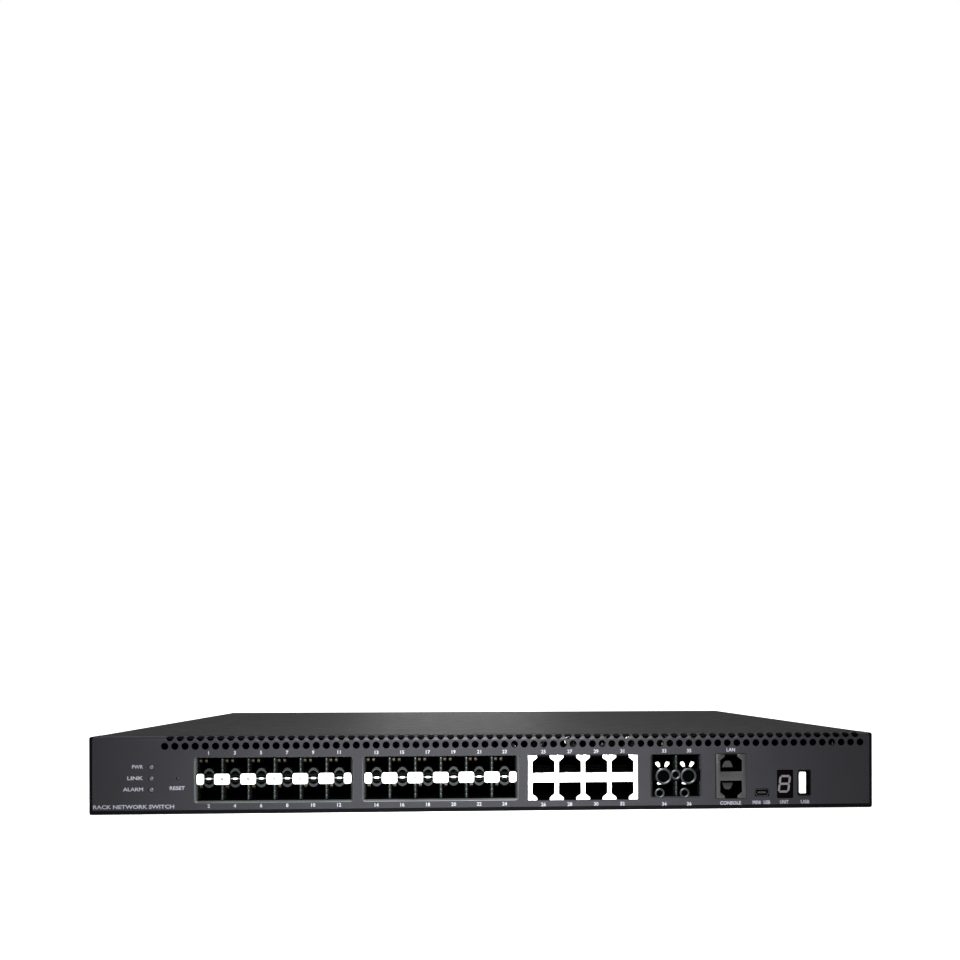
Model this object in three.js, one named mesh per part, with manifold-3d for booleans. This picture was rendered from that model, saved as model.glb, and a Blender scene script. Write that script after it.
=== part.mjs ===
// A 19-inch rackmount network switch, one rack unit high, built as separate pieces.
// Units are millimetres. +X is to the right seen from the front, the front faces -Y, and +Z is up.
// Inside this file y is measured back from the face of the front panel and z up from the underside.

import * as THREE from 'three';
import { mergeVertices } from 'three/addons/utils/BufferGeometryUtils.js';
import Module from 'manifold-3d';

const wasm = await Module();
wasm.setup();

// ---- Driving dimensions ----

const width = 440;
const depth = 280;
const height = 43;
const frontProud = 0.5;
const rearProud = 3;
const halfWidth = width / 2;

const gap = 0.3;
const chassisSheet = 1.2;
const coverSheet = 1;
const panelSheet = 1.5;

const panelReturn = 14;
const panelBevel = 2.6;
const coverBevel = 1.8;
const seam = 0.4;
const bodyFront = panelReturn + seam;

const ventPitch = 5.5;
const ventRowSpacing = 4.75;
const ventCorner = 2;
const ventFirstX = -178.5;
const ventCount = 72;

const portPitch = 14.25;
const cageDivider = 0.6;
const cageWall = 0.5;
const cageNose = 0.4;
const cageFront = panelSheet + gap;
const cageDepth = 48;
const cageBottom = 6.9;
const cageTop = 31.6;
const cageMidLow = 16.2;
const cageMidHigh = 22.3;
const cageFlare = 1.1;
const leftCageX = -119.1;
const rightCageX = -27.2;
const uplinkCageX = 105.9;

const jackPitch = 14.9;
const jackUpperZ = 21.4;
const jackLowerZ = 16.25;
const jackSheet = 0.5;
const jackBottom = 6.3;
const jackTop = 31.3;
const jackDepth = 16;
const jackBlockX = 52.6;
const jackBlockHalf = 31;
const consoleX = 137;
const consoleHalf = 8.5;

const usbX = 179.4;
const usbZ = 14.7;
const usbHalfWidth = 3.6;
const usbHalfHeight = 7.1;
const usbSheet = 0.5;
const usbDepth = 14;
const miniUsbX = 155;
const miniUsbZ = 9.4;
const miniUsbHalfWidth = 3.9;
const miniUsbHalfHeight = 2;
const miniUsbDepth = 9;
const displayX = 168.3;
const displayZ = 14.1;
const displayHalfWidth = 4.4;
const displayHalfHeight = 7.8;
const lightX = -185.8;
const lightHeights = [13.85, 20, 26.2];
const lightRadius = 1.2;
const lightHoleRadius = 1.6;
const resetX = -171.5;
const resetZ = 20;
const resetPin = 0.55;

const boardBottom = 3.6;
const boardTop = 5.2;
const onBoard = boardTop + gap;
const boardHalfWidth = 200;
const boardFront = 4;
const boardBack = 165;
const boardStuds = [-190, -65, 65, 190].flatMap((x) => [[x, 68], [x, 155]]);
const studRadius = 3;
const psuBoardBottom = 6.3;
const psuBoardTop = 7.9;
const onPsuBoard = psuBoardTop + gap;
const psuBoardX = [-208, -62];
const psuBoardY = [178, 258];
const psuStuds = [[-200, 185], [-70, 185], [-200, 252], [-70, 252]];

// Each chip with the finned heatsink on it: place, edge length, thickness, heatsink size, top and fin count.
const cooledChips = [
  { name: 'switch', x: -10, y: 112, size: 38, thickness: 2.5, sink: 52, top: 36, fins: 12 },
  { name: 'port', x: 52, y: 84, size: 22, thickness: 2, sink: 28, top: 26, fins: 7 },
  { name: 'processor', x: -110, y: 108, size: 24, thickness: 2, sink: 34, top: 28, fins: 8 },
];
const coinCellX = 160;
const coinCellY = 90;
const coinCellRadius = 10;

const fanSize = 40;
const fanDepth = 20;
const fanBore = 19;
const fanOpening = 18.6;
const fanTip = 18.2;
const fanHub = 10.5;
const fanBlades = 7;
const fanCentres = [40, 95, 150];
const fanZ = 21.6;
const fanBack = depth - chassisSheet - gap;
const fanFront = fanBack - fanDepth;

const inletX = -170;
const inletZ = 21.5;
const groundX = -120;
const groundZ = 12;

const inletHalfWidth = 13.6;
const inletHalfHeight = 10;
const inletClearance = 0.4;
const groundShank = 1.9;

const earHoleRadius = 2.1;
const earHoles = [[24, 11], [24, 32], [46, 11], [46, 32]];
const coverScrewDepths = [95, 250];
const coverScrewZ = 21.5;
const coverScrewHead = 2.7;
const coverScrewShank = 1.5;
const screwClearance = 0.4;

// ---- Solid helpers ----

function toSolid(geometry) {
  const plain = geometry.clone();
  plain.deleteAttribute('normal');
  plain.deleteAttribute('uv');
  const merged = mergeVertices(plain, 1e-4);
  return new wasm.Manifold(new wasm.Mesh({
    numProp: 3,
    vertProperties: new Float32Array(merged.attributes.position.array),
    triVerts: new Uint32Array(merged.index.array),
  }));
}

function toGeometry(solid) {
  const mesh = solid.getMesh();
  const geometry = new THREE.BufferGeometry();
  geometry.setAttribute('position', new THREE.BufferAttribute(new Float32Array(mesh.vertProperties), 3));
  geometry.setIndex(new THREE.BufferAttribute(new Uint32Array(mesh.triVerts), 1));
  geometry.computeVertexNormals();
  return geometry;
}

function join(solids) {
  return solids.reduce((sum, solid) => sum.add(solid));
}

function box(x0, x1, y0, y1, z0, z1) {
  const geometry = new THREE.BoxGeometry(x1 - x0, y1 - y0, z1 - z0);
  geometry.translate((x0 + x1) / 2, (y0 + y1) / 2, (z0 + z1) / 2);
  return toSolid(geometry);
}

// Extrudes an outline along one axis: (y, z) pairs along X, (x, z) pairs along Y, (x, y) pairs along Z.
function prism(axis, outline, from, to) {
  const shape = new THREE.Shape(outline.map(([u, v]) => new THREE.Vector2(u, v)));
  const geometry = new THREE.ExtrudeGeometry(shape, { depth: to - from, bevelEnabled: false });
  const unitX = new THREE.Vector3(1, 0, 0);
  const unitY = new THREE.Vector3(0, 1, 0);
  const unitZ = new THREE.Vector3(0, 0, 1);
  const turn = new THREE.Matrix4();
  if (axis === 'x') {
    turn.makeBasis(unitY, unitZ, unitX).setPosition(from, 0, 0);
  } else if (axis === 'y') {
    turn.makeBasis(unitX, unitZ, unitY.clone().negate()).setPosition(0, to, 0);
  } else {
    turn.makeBasis(unitX, unitY, unitZ).setPosition(0, 0, from);
  }
  geometry.applyMatrix4(turn);
  return toSolid(geometry);
}

function cylinder(axis, radius, from, to, u, v, sides) {
  const outline = polygon(u, v, radius, sides);
  return prism(axis, outline, from, to);
}

function polygon(u, v, radius, sides, start = 0) {
  return Array.from({ length: sides }, (_, i) => {
    const angle = start + (i * 2 * Math.PI) / sides;
    return [u + radius * Math.cos(angle), v + radius * Math.sin(angle)];
  });
}

function roundedRectangle(u0, u1, v0, v1, radius, steps = 3) {
  const corners = [[u1 - radius, v1 - radius], [u0 + radius, v1 - radius],
    [u0 + radius, v0 + radius], [u1 - radius, v0 + radius]];
  return corners.flatMap(([u, v], quarter) => Array.from({ length: steps + 1 }, (_, i) => {
    const angle = (quarter + i / steps) * (Math.PI / 2);
    return [u + radius * Math.cos(angle), v + radius * Math.sin(angle)];
  }));
}

// A wire or cable: a round section swept along a smooth curve through the given points.
function cable(points, radius, steps, sides = 6) {
  const path = new THREE.CatmullRomCurve3(points.map(([x, y, z]) => new THREE.Vector3(x, y, z)));
  const section = new THREE.Shape(polygon(0, 0, radius, sides).map(([u, v]) => new THREE.Vector2(u, v)));
  return toSolid(new THREE.ExtrudeGeometry(section, { steps, extrudePath: path, bevelEnabled: false }));
}

// ---- Materials ----

function finish(color, roughness, metalness) {
  return () => new THREE.MeshStandardMaterial({ color, roughness, metalness });
}

const blackPaint = finish(0x3e3e41, 0.55, 0.2);
const coverPaint = finish(0x444444, 0.5, 0.2);
const zincSteel = finish(0x8d8f91, 0.4, 0.9);
const brightNickel = finish(0xdedede, 0.25, 1);
const blackPlastic = finish(0x17181a, 0.5, 0);
const whitePlastic = finish(0xe9e9e6, 0.45, 0);
const clearPlastic = finish(0xc9cfc9, 0.2, 0);
const greenBoard = finish(0x1f4a30, 0.5, 0);
const blackAnodised = finish(0x242528, 0.45, 0.6);
const chipBlack = finish(0x1c1c1e, 0.6, 0);
const brassContact = finish(0xb08d4a, 0.35, 1);
const copperWinding = finish(0xc08a3c, 0.45, 0.3);
const cableBlack = finish(0x202022, 0.6, 0);
const cellSteel = finish(0xc4c6c8, 0.3, 1);

// ---- Front panel: a formed pan with folded edges, port cut-outs and three staggered vent rows ----

function panSection(inset, low, high, back) {
  const corner = panelBevel + (Math.SQRT2 - 1) * inset;
  return [[inset, low + corner], [inset, high - corner], [corner, high - inset], [back, high - inset],
    [back, low + inset], [corner, low + inset]];
}

function panBlock(inset, back) {
  const across = panSection(inset, -halfWidth, halfWidth, back).map(([y, x]) => [x, y]);
  return prism('x', panSection(inset, 0, height, back), -halfWidth, halfWidth)
    .intersect(prism('z', across, 0, height));
}

function vent(x, row) {
  const reach = 3;
  if (row === 0) {
    const z = height - panelBevel - (ventRowSpacing - panelBevel / Math.SQRT2);
    return prism('y', polygon(x, z, ventCorner, 6), -1, reach);
  }
  if (row === 2) {
    const y = panelBevel + (ventRowSpacing - panelBevel / Math.SQRT2);
    return prism('z', polygon(x, y, ventCorner, 6), height - reach, height + 1);
  }
  const outline = polygon(0, 0, ventCorner, 6).map(([u, v]) => new THREE.Vector2(u, v));
  const geometry = new THREE.ExtrudeGeometry(new THREE.Shape(outline), { depth: reach, bevelEnabled: false });
  geometry.translate(0, 0, -reach / 2 - 0.6);
  geometry.rotateX(Math.PI / 4);
  geometry.translate(x, panelBevel / 2, height - panelBevel / 2);
  return toSolid(geometry);
}

function vents() {
  const cutters = [];
  for (let i = 0; i < ventCount; i += 1) {
    const x = ventFirstX + i * ventPitch;
    cutters.push(vent(x, 0), vent(x, 2));
    if (i < ventCount - 1) {
      cutters.push(vent(x + ventPitch / 2, 1));
    }
  }
  return join(cutters);
}

// A cut-out for a module cage: the size of its ports right through, opening out to the front at 45 degrees.
function cageCutout(columns, centre) {
  const half = (columns * portPitch - cageDivider) / 2;
  const cornerRadius = 0.8;
  const mouth = roundedRectangle(centre - half, centre + half, cageBottom + cageWall, cageTop - cageWall,
    cornerRadius);
  const shape = new THREE.Shape(mouth.map(([u, v]) => new THREE.Vector2(u, v)));
  const flare = new THREE.ExtrudeGeometry(shape, {
    depth: 2, bevelSegments: 1, bevelSize: cageFlare, bevelThickness: cageFlare,
  });
  flare.rotateX(Math.PI / 2);
  return toSolid(flare).add(prism('y', mouth, -1, panelSheet + 1));
}

function throughPanel(x0, x1, z0, z1) {
  return box(x0, x1, -1, panelSheet + 1, z0, z1);
}

function frontPanel() {
  const hollow = panBlock(panelSheet, panelReturn + 1);
  const jackCutout = (centre, half) => (
    throughPanel(centre - half - gap, centre + half + gap, jackBottom - gap, jackTop + gap));
  const around = (x, z, halfX, halfZ) => (
    throughPanel(x - halfX - gap, x + halfX + gap, z - halfZ - gap, z + halfZ + gap));
  const cutters = [
    cageCutout(6, leftCageX),
    cageCutout(6, rightCageX),
    cageCutout(2, uplinkCageX),
    jackCutout(jackBlockX, jackBlockHalf),
    jackCutout(consoleX, consoleHalf),
    around(miniUsbX, miniUsbZ, miniUsbHalfWidth, miniUsbHalfHeight),
    around(displayX, displayZ, displayHalfWidth, displayHalfHeight),
    around(usbX, usbZ, usbHalfWidth, usbHalfHeight),
    cylinder('y', resetPin + gap, -1, panelSheet + 1, resetX, resetZ, 10),
    ...lightHeights.map((z) => cylinder('y', lightHoleRadius, -1, panelSheet + 1, lightX, z, 10)),
  ];
  return panBlock(0, panelReturn).subtract(hollow).subtract(vents()).subtract(join(cutters));
}

// ---- Chassis and cover ----

function earHoleCutters(side) {
  const from = side > 0 ? halfWidth - 5 : -halfWidth - 1;
  return earHoles.map(([y, z]) => cylinder('x', earHoleRadius, from, from + 6, y, z, 6));
}

function baseChassis() {
  const wallOut = halfWidth - coverSheet - gap;
  const wallIn = wallOut - chassisSheet;
  const wallTop = 38;
  const rearTop = height - coverSheet - gap;
  const rearWall = [[-wallOut, 0], [wallOut, 0], [wallOut, rearTop - 2], [wallOut - 2, rearTop],
    [-wallOut + 2, rearTop], [-wallOut, rearTop - 2]];
  const lipHalf = 210;
  const lipFront = 5;
  const lipTop = panelSheet + gap + 1;
  const stud = (x, y, top) => cylinder('z', studRadius, chassisSheet / 2, top, x, y, 6);
  const plates = [
    box(-wallOut, wallOut, bodyFront, depth, 0, chassisSheet),
    box(-wallOut, -wallIn, bodyFront, depth, 0, wallTop),
    box(wallIn, wallOut, bodyFront, depth, 0, wallTop),
    prism('y', rearWall, depth - chassisSheet, depth),
    box(-lipHalf, lipHalf, lipFront, bodyFront + 1, panelSheet + gap, lipTop),
    box(-lipHalf, lipHalf, bodyFront, bodyFront + 1, 0, lipTop),
    ...boardStuds.map(([x, y]) => stud(x, y, boardBottom - gap)),
    ...psuStuds.map(([x, y]) => stud(x, y, psuBoardBottom - gap)),
  ];
  const cutters = [
    ...earHoleCutters(-1),
    ...earHoleCutters(1),
    ...fanCentres.map((x) => cylinder('y', fanOpening, depth - 3, depth + 1, x, fanZ, 24)),
    box(inletX - inletHalfWidth - inletClearance, inletX + inletHalfWidth + inletClearance, depth - 3,
      depth + 1, inletZ - inletHalfHeight - inletClearance, inletZ + inletHalfHeight + inletClearance),
    cylinder('y', groundShank + screwClearance, depth - 3, depth + 1, groundX, groundZ, 12),
  ];
  const screwHole = coverScrewShank + screwClearance;
  for (const y of coverScrewDepths) {
    cutters.push(cylinder('x', screwHole, -halfWidth, -halfWidth + 5, y, coverScrewZ, 8));
    cutters.push(cylinder('x', screwHole, halfWidth - 5, halfWidth, y, coverScrewZ, 8));
  }
  return join(plates).subtract(join(cutters));
}

function topCover() {
  const skirtBottom = 0.3;
  const inner = coverBevel + (Math.SQRT2 - 1) * coverSheet;
  const outline = [[-halfWidth, skirtBottom], [-halfWidth, height - coverBevel],
    [-halfWidth + coverBevel, height], [halfWidth - coverBevel, height],
    [halfWidth, height - coverBevel], [halfWidth, skirtBottom],
    [halfWidth - coverSheet, skirtBottom], [halfWidth - coverSheet, height - inner],
    [halfWidth - inner, height - coverSheet], [-halfWidth + inner, height - coverSheet],
    [-halfWidth + coverSheet, height - inner], [-halfWidth + coverSheet, skirtBottom]];
  const cutters = [...earHoleCutters(-1), ...earHoleCutters(1)];
  const sink = coverScrewHead + gap;
  for (const y of coverScrewDepths) {
    cutters.push(cylinder('x', sink, -halfWidth - 1, -halfWidth + coverSheet + 0.1, y, coverScrewZ, 8));
    cutters.push(cylinder('x', sink, halfWidth - coverSheet - 0.1, halfWidth + 1, y, coverScrewZ, 8));
  }
  return prism('y', outline, bodyFront, depth).subtract(join(cutters));
}

function coverScrew(side, y) {
  const headBack = halfWidth - 0.9;
  const head = cylinder('x', coverScrewHead, headBack, halfWidth - 0.05, y, coverScrewZ, 10);
  const shank = cylinder('x', coverScrewShank, halfWidth - 6, headBack + 0.4, y, coverScrewZ, 8);
  const slot = 0.45;
  const reach = 1.6;
  const cross = join([
    box(headBack + 0.4, halfWidth, y - reach, y + reach, coverScrewZ - slot, coverScrewZ + slot),
    box(headBack + 0.4, halfWidth, y - slot, y + slot, coverScrewZ - reach, coverScrewZ + reach),
  ]);
  const screw = join([head, shank]).subtract(cross);
  return side > 0 ? screw : screw.mirror([1, 0, 0]);
}

// ---- Module cages: stacked sheet-metal tunnels with a channel between the two rows ----

function moduleCage(columns, centre) {
  const half = (columns * portPitch + cageDivider) / 2;
  const noseHalf = half - cageDivider - gap;
  const noseBack = cageFront + 1;
  const body = box(centre - half, centre + half, cageFront, cageDepth, cageBottom, cageTop);
  const band = box(centre - noseHalf, centre + noseHalf, cageNose, noseBack, cageMidLow, cageMidHigh);
  const channelInset = 0.8;
  const cutters = [box(centre - half + cageWall, centre + half - cageWall, noseBack, cageDepth + 1,
    cageMidLow + channelInset, cageMidHigh - channelInset)];
  const dividers = [];
  const portHalf = (portPitch - cageDivider) / 2;
  for (let i = 0; i < columns; i += 1) {
    const x = centre + (i - (columns - 1) / 2) * portPitch;
    cutters.push(box(x - portHalf, x + portHalf, -1, cageDepth + 1, cageBottom + cageWall, cageMidLow));
    cutters.push(box(x - portHalf, x + portHalf, -1, cageDepth + 1, cageMidHigh, cageTop - cageWall));
    if (i > 0) {
      const left = x - portPitch / 2 - cageDivider / 2;
      dividers.push(box(left, left + cageDivider, cageNose, noseBack,
        cageBottom + cageWall + gap, cageTop - cageWall - gap));
    }
  }
  return join([body, band, ...dividers]).subtract(join(cutters));
}

// The stacked edge connectors that stand behind a cage, one tower per column on a common foot.
function connectorRow(columns, centre) {
  const front = cageDepth + gap;
  const back = front + 12;
  const slotDepth = 7;
  const slotBottoms = [12, 27];
  const slotHeight = 1.4;
  const towers = [];
  for (let i = 0; i < columns; i += 1) {
    const x = centre + (i - (columns - 1) / 2) * portPitch;
    const tower = box(x - 5.9, x + 5.9, front, back, onBoard, cageTop - 2);
    const slots = slotBottoms.map((z) => (
      box(x - 4.6, x + 4.6, front - 1, front + slotDepth, z, z + slotHeight)));
    towers.push(tower.subtract(join(slots)));
  }
  const half = (columns * portPitch) / 2 - 1;
  return join([...towers, box(centre - half, centre + half, front + 4, back, onBoard, onBoard + 3)]);
}

// ---- Eight-contact jacks, stacked in two rows that mirror each other ----

// Half of a jack's mouth, from its floor to the latch notch, which runs out through the edge of the shield.
const jackProfile = [[6.25, 0], [6.25, 6.5], [4.4, 7.9], [3.6, 8.6], [3.6, 10.2]];

function jackMouth(x, z, direction) {
  const right = jackProfile.map(([u, v]) => [x + u, z + direction * v]);
  const left = jackProfile.map(([u, v]) => [x - u, z + direction * v]).reverse();
  return [...right, ...left];
}

function jackMouths(columns, centre, from, to) {
  const mouths = [];
  for (let i = 0; i < columns; i += 1) {
    const x = centre + (i - (columns - 1) / 2) * jackPitch;
    mouths.push(prism('y', jackMouth(x, jackUpperZ, 1), from, to));
    mouths.push(prism('y', jackMouth(x, jackLowerZ, -1), from, to));
  }
  return join(mouths);
}

function jackShield(columns, centre, half) {
  const can = box(centre - half, centre + half, -frontProud, jackDepth, jackBottom, jackTop);
  const inside = box(centre - half + jackSheet, centre + half - jackSheet,
    jackSheet - frontProud, jackDepth + 1, jackBottom - 1, jackTop - jackSheet);
  return can.subtract(inside).subtract(jackMouths(columns, centre, -1, 1));
}

function jackHousing(columns, centre, half) {
  const inset = jackSheet + gap;
  const front = inset - frontProud;
  const block = box(centre - half + inset, centre + half - inset, front, jackDepth - 0.5,
    jackBottom, jackTop - inset);
  return block.subtract(jackMouths(columns, centre, -1, jackDepth - 3));
}

// ---- Small front connectors, indicator and reset ----

function usbShell() {
  const outer = box(usbX - usbHalfWidth, usbX + usbHalfWidth, -0.2, usbDepth,
    usbZ - usbHalfHeight, usbZ + usbHalfHeight);
  const innerX = usbHalfWidth - usbSheet;
  const innerZ = usbHalfHeight - usbSheet - 0.1;
  const inner = box(usbX - innerX, usbX + innerX, -1, usbDepth - usbSheet, usbZ - innerZ, usbZ + innerZ);
  const foot = box(usbX - 2.5, usbX + 2.5, 6, 13, onBoard, usbZ - usbHalfHeight + 0.1);
  return outer.add(foot).subtract(inner);
}

function usbTongue() {
  return box(usbX - 2.3, usbX + 1.1, 1, usbDepth - usbSheet - gap, usbZ - 6, usbZ + 6);
}

function miniUsbPort() {
  const keystone = (halfX, halfZ, chamferX, chamferZ) => [
    [-halfX, halfZ], [halfX, halfZ], [halfX, chamferZ - halfZ],
    [halfX - chamferX, -halfZ], [chamferX - halfX, -halfZ], [-halfX, chamferZ - halfZ]];
  const outline = keystone(miniUsbHalfWidth, miniUsbHalfHeight, 1, 1.4);
  const inner = keystone(miniUsbHalfWidth - 0.4, miniUsbHalfHeight - 0.4, 0.8, 1.2);
  const place = ([x, z]) => [x + miniUsbX, z + miniUsbZ];
  const shell = prism('y', outline.map(place), -0.1, miniUsbDepth)
    .subtract(prism('y', inner.map(place), -1, miniUsbDepth - 1));
  const tongue = box(miniUsbX - 2.3, miniUsbX + 2.3, 1, 8.5, miniUsbZ - 0.1, miniUsbZ + 0.9);
  const foot = box(miniUsbX - 3, miniUsbX + 3, 3, 9, onBoard, miniUsbZ - 1.8);
  return join([shell, tongue, foot]);
}

function digitDisplay() {
  const face = box(displayX - displayHalfWidth, displayX + displayHalfWidth, 0.2, 3,
    displayZ - displayHalfHeight, displayZ + displayHalfHeight);
  const border = 0.8;
  const body = box(displayX - displayHalfWidth - border, displayX + displayHalfWidth + border,
    panelSheet + gap, 9, onBoard, displayZ + displayHalfHeight + border);
  return face.add(body);
}

function statusLightPipe() {
  const rods = lightHeights.map((z) => cylinder('y', lightRadius, 0.1, 6, lightX, z, 10));
  const carrier = box(lightX - 2, lightX + 2, 4, 9, onBoard, 28.5);
  return join([...rods, carrier]);
}

function resetButton() {
  const pin = cylinder('y', resetPin, 0.7, 7, resetX, resetZ, 10);
  const collar = cylinder('y', 1.6, 4, 5.4, resetX, resetZ, 10);
  return pin.add(collar);
}

function resetSwitch() {
  const body = box(resetX - 3, resetX + 3, 6.8, 13, onBoard, resetZ + 3);
  return body.subtract(cylinder('y', resetPin + gap, 6, 8.6, resetX, resetZ, 10));
}

// ---- Boards, chips and cooling ----

function mainBoard() {
  return box(-boardHalfWidth, boardHalfWidth, boardFront, boardBack, boardBottom, boardTop);
}

function finnedHeatsink(x, y, size, bottom, top, fins) {
  const base = 3;
  const pitch = size / (fins - 0.5);
  const outline = [[x - size / 2, bottom], [x + size / 2, bottom]];
  for (let i = fins - 1; i >= 0; i -= 1) {
    const left = x - size / 2 + i * pitch;
    outline.push([left + pitch / 2, top], [left, top]);
    if (i > 0) {
      outline.push([left, bottom + base], [left - pitch / 2, bottom + base]);
    }
  }
  return prism('y', outline, y - size / 2, y + size / 2);
}

function chip(x, y, size, thickness) {
  return box(x - size / 2, x + size / 2, y - size / 2, y + size / 2, onBoard, onBoard + thickness);
}

function memoryModule() {
  const socket = box(108, 178, 120, 126, onBoard, onBoard + 5);
  const card = box(110, 176, 125, 152, onBoard + 2.2, onBoard + 3.4);
  return socket.add(card);
}

function cellHolder() {
  const ring = cylinder('z', coinCellRadius + 1.5, onBoard, onBoard + 3, coinCellX, coinCellY, 20);
  const well = cylinder('z', coinCellRadius + 0.4, onBoard + 0.8, onBoard + 4, coinCellX, coinCellY, 20);
  return ring.subtract(well);
}

function coinCell() {
  return cylinder('z', coinCellRadius, onBoard + 0.8 + gap, onBoard + 4.1, coinCellX, coinCellY, 20);
}

// ---- Power supply ----

function plateHeatsink(x, y, length) {
  const plate = box(x - 1.5, x + 1.5, y - length / 2, y + length / 2, onPsuBoard, 34);
  return plate.add(box(x - 1.5, x + 8, y - length / 2, y + length / 2, 32, 34));
}

function powerInlet() {
  const flange = prism('y', roundedRectangle(inletX - 15.5, inletX + 15.5, inletZ - 12.2, inletZ + 12.2, 2),
    depth + gap, depth + gap + 2.2);
  const body = box(inletX - inletHalfWidth, inletX + inletHalfWidth, depth - 18, depth + 1,
    inletZ - inletHalfHeight, inletZ + inletHalfHeight);
  const mouth = [[-12.2, -8.3], [12.2, -8.3], [12.2, 4.8], [8.6, 8.3], [-8.6, 8.3], [-12.2, 4.8]];
  const cavity = prism('y', mouth.map(([x, z]) => [x + inletX, z + inletZ]), depth - 15, depth + 4);
  const slots = inletPinPlaces.map(([x, z]) => box(x - 1.3, x + 1.3, depth - 19, depth, z - 2.3, z + 2.3));
  return flange.add(body).subtract(cavity).subtract(join(slots));
}

const inletPinPlaces = [[inletX - 7, inletZ - 1.6], [inletX + 7, inletZ - 1.6], [inletX, inletZ + 3.4]];

function inletPin([x, z]) {
  return box(x - 1, x + 1, depth - 22, depth - 3, z - 2, z + 2);
}

// ---- Fans: frame, rotor on its shaft, and wire guard ----

function fanFrame(x) {
  const half = fanSize / 2;
  const block = box(x - half, x + half, fanFront, fanBack, fanZ - half, fanZ + half);
  const shell = block.subtract(cylinder('y', fanBore, fanFront - 1, fanBack + 1, x, fanZ, 24));
  const motorPlate = cylinder('y', fanHub + 0.6, fanBack - 2.4, fanBack, x, fanZ, 18);
  const arms = [0, 1, 2].map((i) => {
    const arm = new THREE.BoxGeometry(fanBore + 0.5, 2.2, 2.2);
    arm.translate((fanBore + 0.5) / 2, 0, 0);
    arm.rotateY(Math.PI / 6 + (i * 2 * Math.PI) / 3);
    arm.translate(x, fanBack - 1.1, fanZ);
    return toSolid(arm);
  });
  const bearing = cylinder('y', 3, fanBack - 13, fanBack - 1, x, fanZ, 10);
  const bore = cylinder('y', 1.6, fanBack - 14, fanBack - 2, x, fanZ, 10);
  return join([shell, motorPlate, ...arms, bearing]).subtract(bore);
}

function fanRotor(x) {
  const front = fanFront + 1;
  const back = fanBack - 3;
  const cup = cylinder('y', fanHub, front, back, x, fanZ, 18)
    .subtract(cylinder('y', fanHub - 1.6, front + 2, back + 1, x, fanZ, 14));
  const shaft = cylinder('y', 1.2, front + 1, back, x, fanZ, 10);
  const blades = Array.from({ length: fanBlades }, (_, i) => {
    const blade = new THREE.BoxGeometry(1.1, 15, fanTip - fanHub + 1);
    blade.rotateZ(0.62);
    blade.translate(0, 0, (fanTip + fanHub - 1) / 2 - 0.35);
    blade.rotateY((i * 2 * Math.PI) / fanBlades);
    blade.translate(x, (front + back) / 2, fanZ);
    return toSolid(blade);
  });
  return join([cup, shaft, ...blades]);
}

function fanGuard(x) {
  const wire = 0.6;
  const front = depth + gap;
  const rings = [6.5, 12.5, 18.5].map((radius) => {
    const section = [[radius - wire, 0], [radius + wire, 0], [radius + wire, 2 * wire],
      [radius - wire, 2 * wire], [radius - wire, 0]];
    const ring = new THREE.LatheGeometry(section.map(([r, y]) => new THREE.Vector2(r, y)), 16);
    ring.translate(x, depth + rearProud - 2 * wire, fanZ);
    return toSolid(ring);
  });
  const lugSpan = 16;
  const bars = [-1, 1].map((side) => {
    const bar = new THREE.BoxGeometry(2 * lugSpan * Math.SQRT2 + 3, 1.9, 1.4);
    bar.rotateY((side * Math.PI) / 4);
    bar.translate(x, front + 0.95, fanZ);
    return toSolid(bar);
  });
  const lugs = [[-1, -1], [1, -1], [1, 1], [-1, 1]].map(([i, j]) => (
    cylinder('y', 3, front, front + 1, x + i * lugSpan, fanZ + j * lugSpan, 6)));
  return join([...rings, ...bars, ...lugs]);
}

function groundScrew() {
  const top = depth + gap + 2.2;
  const head = cylinder('y', 2 * groundShank, depth + gap, top, groundX, groundZ, 12);
  const shank = cylinder('y', groundShank, depth - 7, depth + gap + 0.5, groundX, groundZ, 10);
  const slot = 0.5;
  const reach = 2.2;
  const cross = join([
    box(groundX - reach, groundX + reach, top - 1, top + 1, groundZ - slot, groundZ + slot),
    box(groundX - slot, groundX + slot, top - 1, top + 1, groundZ - reach, groundZ + reach),
  ]);
  return head.add(shank).subtract(cross);
}

// ---- Assembly ----

const assembly = new THREE.Group();
assembly.position.y = -(depth + rearProud + frontProud) / 2 + frontProud;

function addPart(name, solid, material) {
  const mesh = new THREE.Mesh(toGeometry(solid), material());
  mesh.name = name;
  assembly.add(mesh);
}

addPart('base_chassis', baseChassis(), zincSteel);
addPart('top_cover', topCover(), coverPaint);
addPart('front_panel', frontPanel(), blackPaint);

addPart('module_cage_left', moduleCage(6, leftCageX), zincSteel);
addPart('module_cage_right', moduleCage(6, rightCageX), zincSteel);
addPart('uplink_cage', moduleCage(2, uplinkCageX), zincSteel);
addPart('module_connectors_left', connectorRow(6, leftCageX), blackPlastic);
addPart('module_connectors_right', connectorRow(6, rightCageX), blackPlastic);
addPart('uplink_connectors', connectorRow(2, uplinkCageX), blackPlastic);

addPart('jack_block_shield', jackShield(4, jackBlockX, jackBlockHalf), brightNickel);
addPart('jack_block_housing', jackHousing(4, jackBlockX, jackBlockHalf), blackPlastic);
addPart('console_jack_shield', jackShield(1, consoleX, consoleHalf), zincSteel);
addPart('console_jack_housing', jackHousing(1, consoleX, consoleHalf), blackPlastic);

addPart('usb_port_shell', usbShell(), brightNickel);
addPart('usb_port_tongue', usbTongue(), whitePlastic);
addPart('mini_usb_port', miniUsbPort(), zincSteel);
addPart('digit_display', digitDisplay(), blackPlastic);
addPart('status_light_pipe', statusLightPipe(), clearPlastic);
addPart('reset_button', resetButton(), blackPlastic);
addPart('reset_switch', resetSwitch(), chipBlack);

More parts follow.
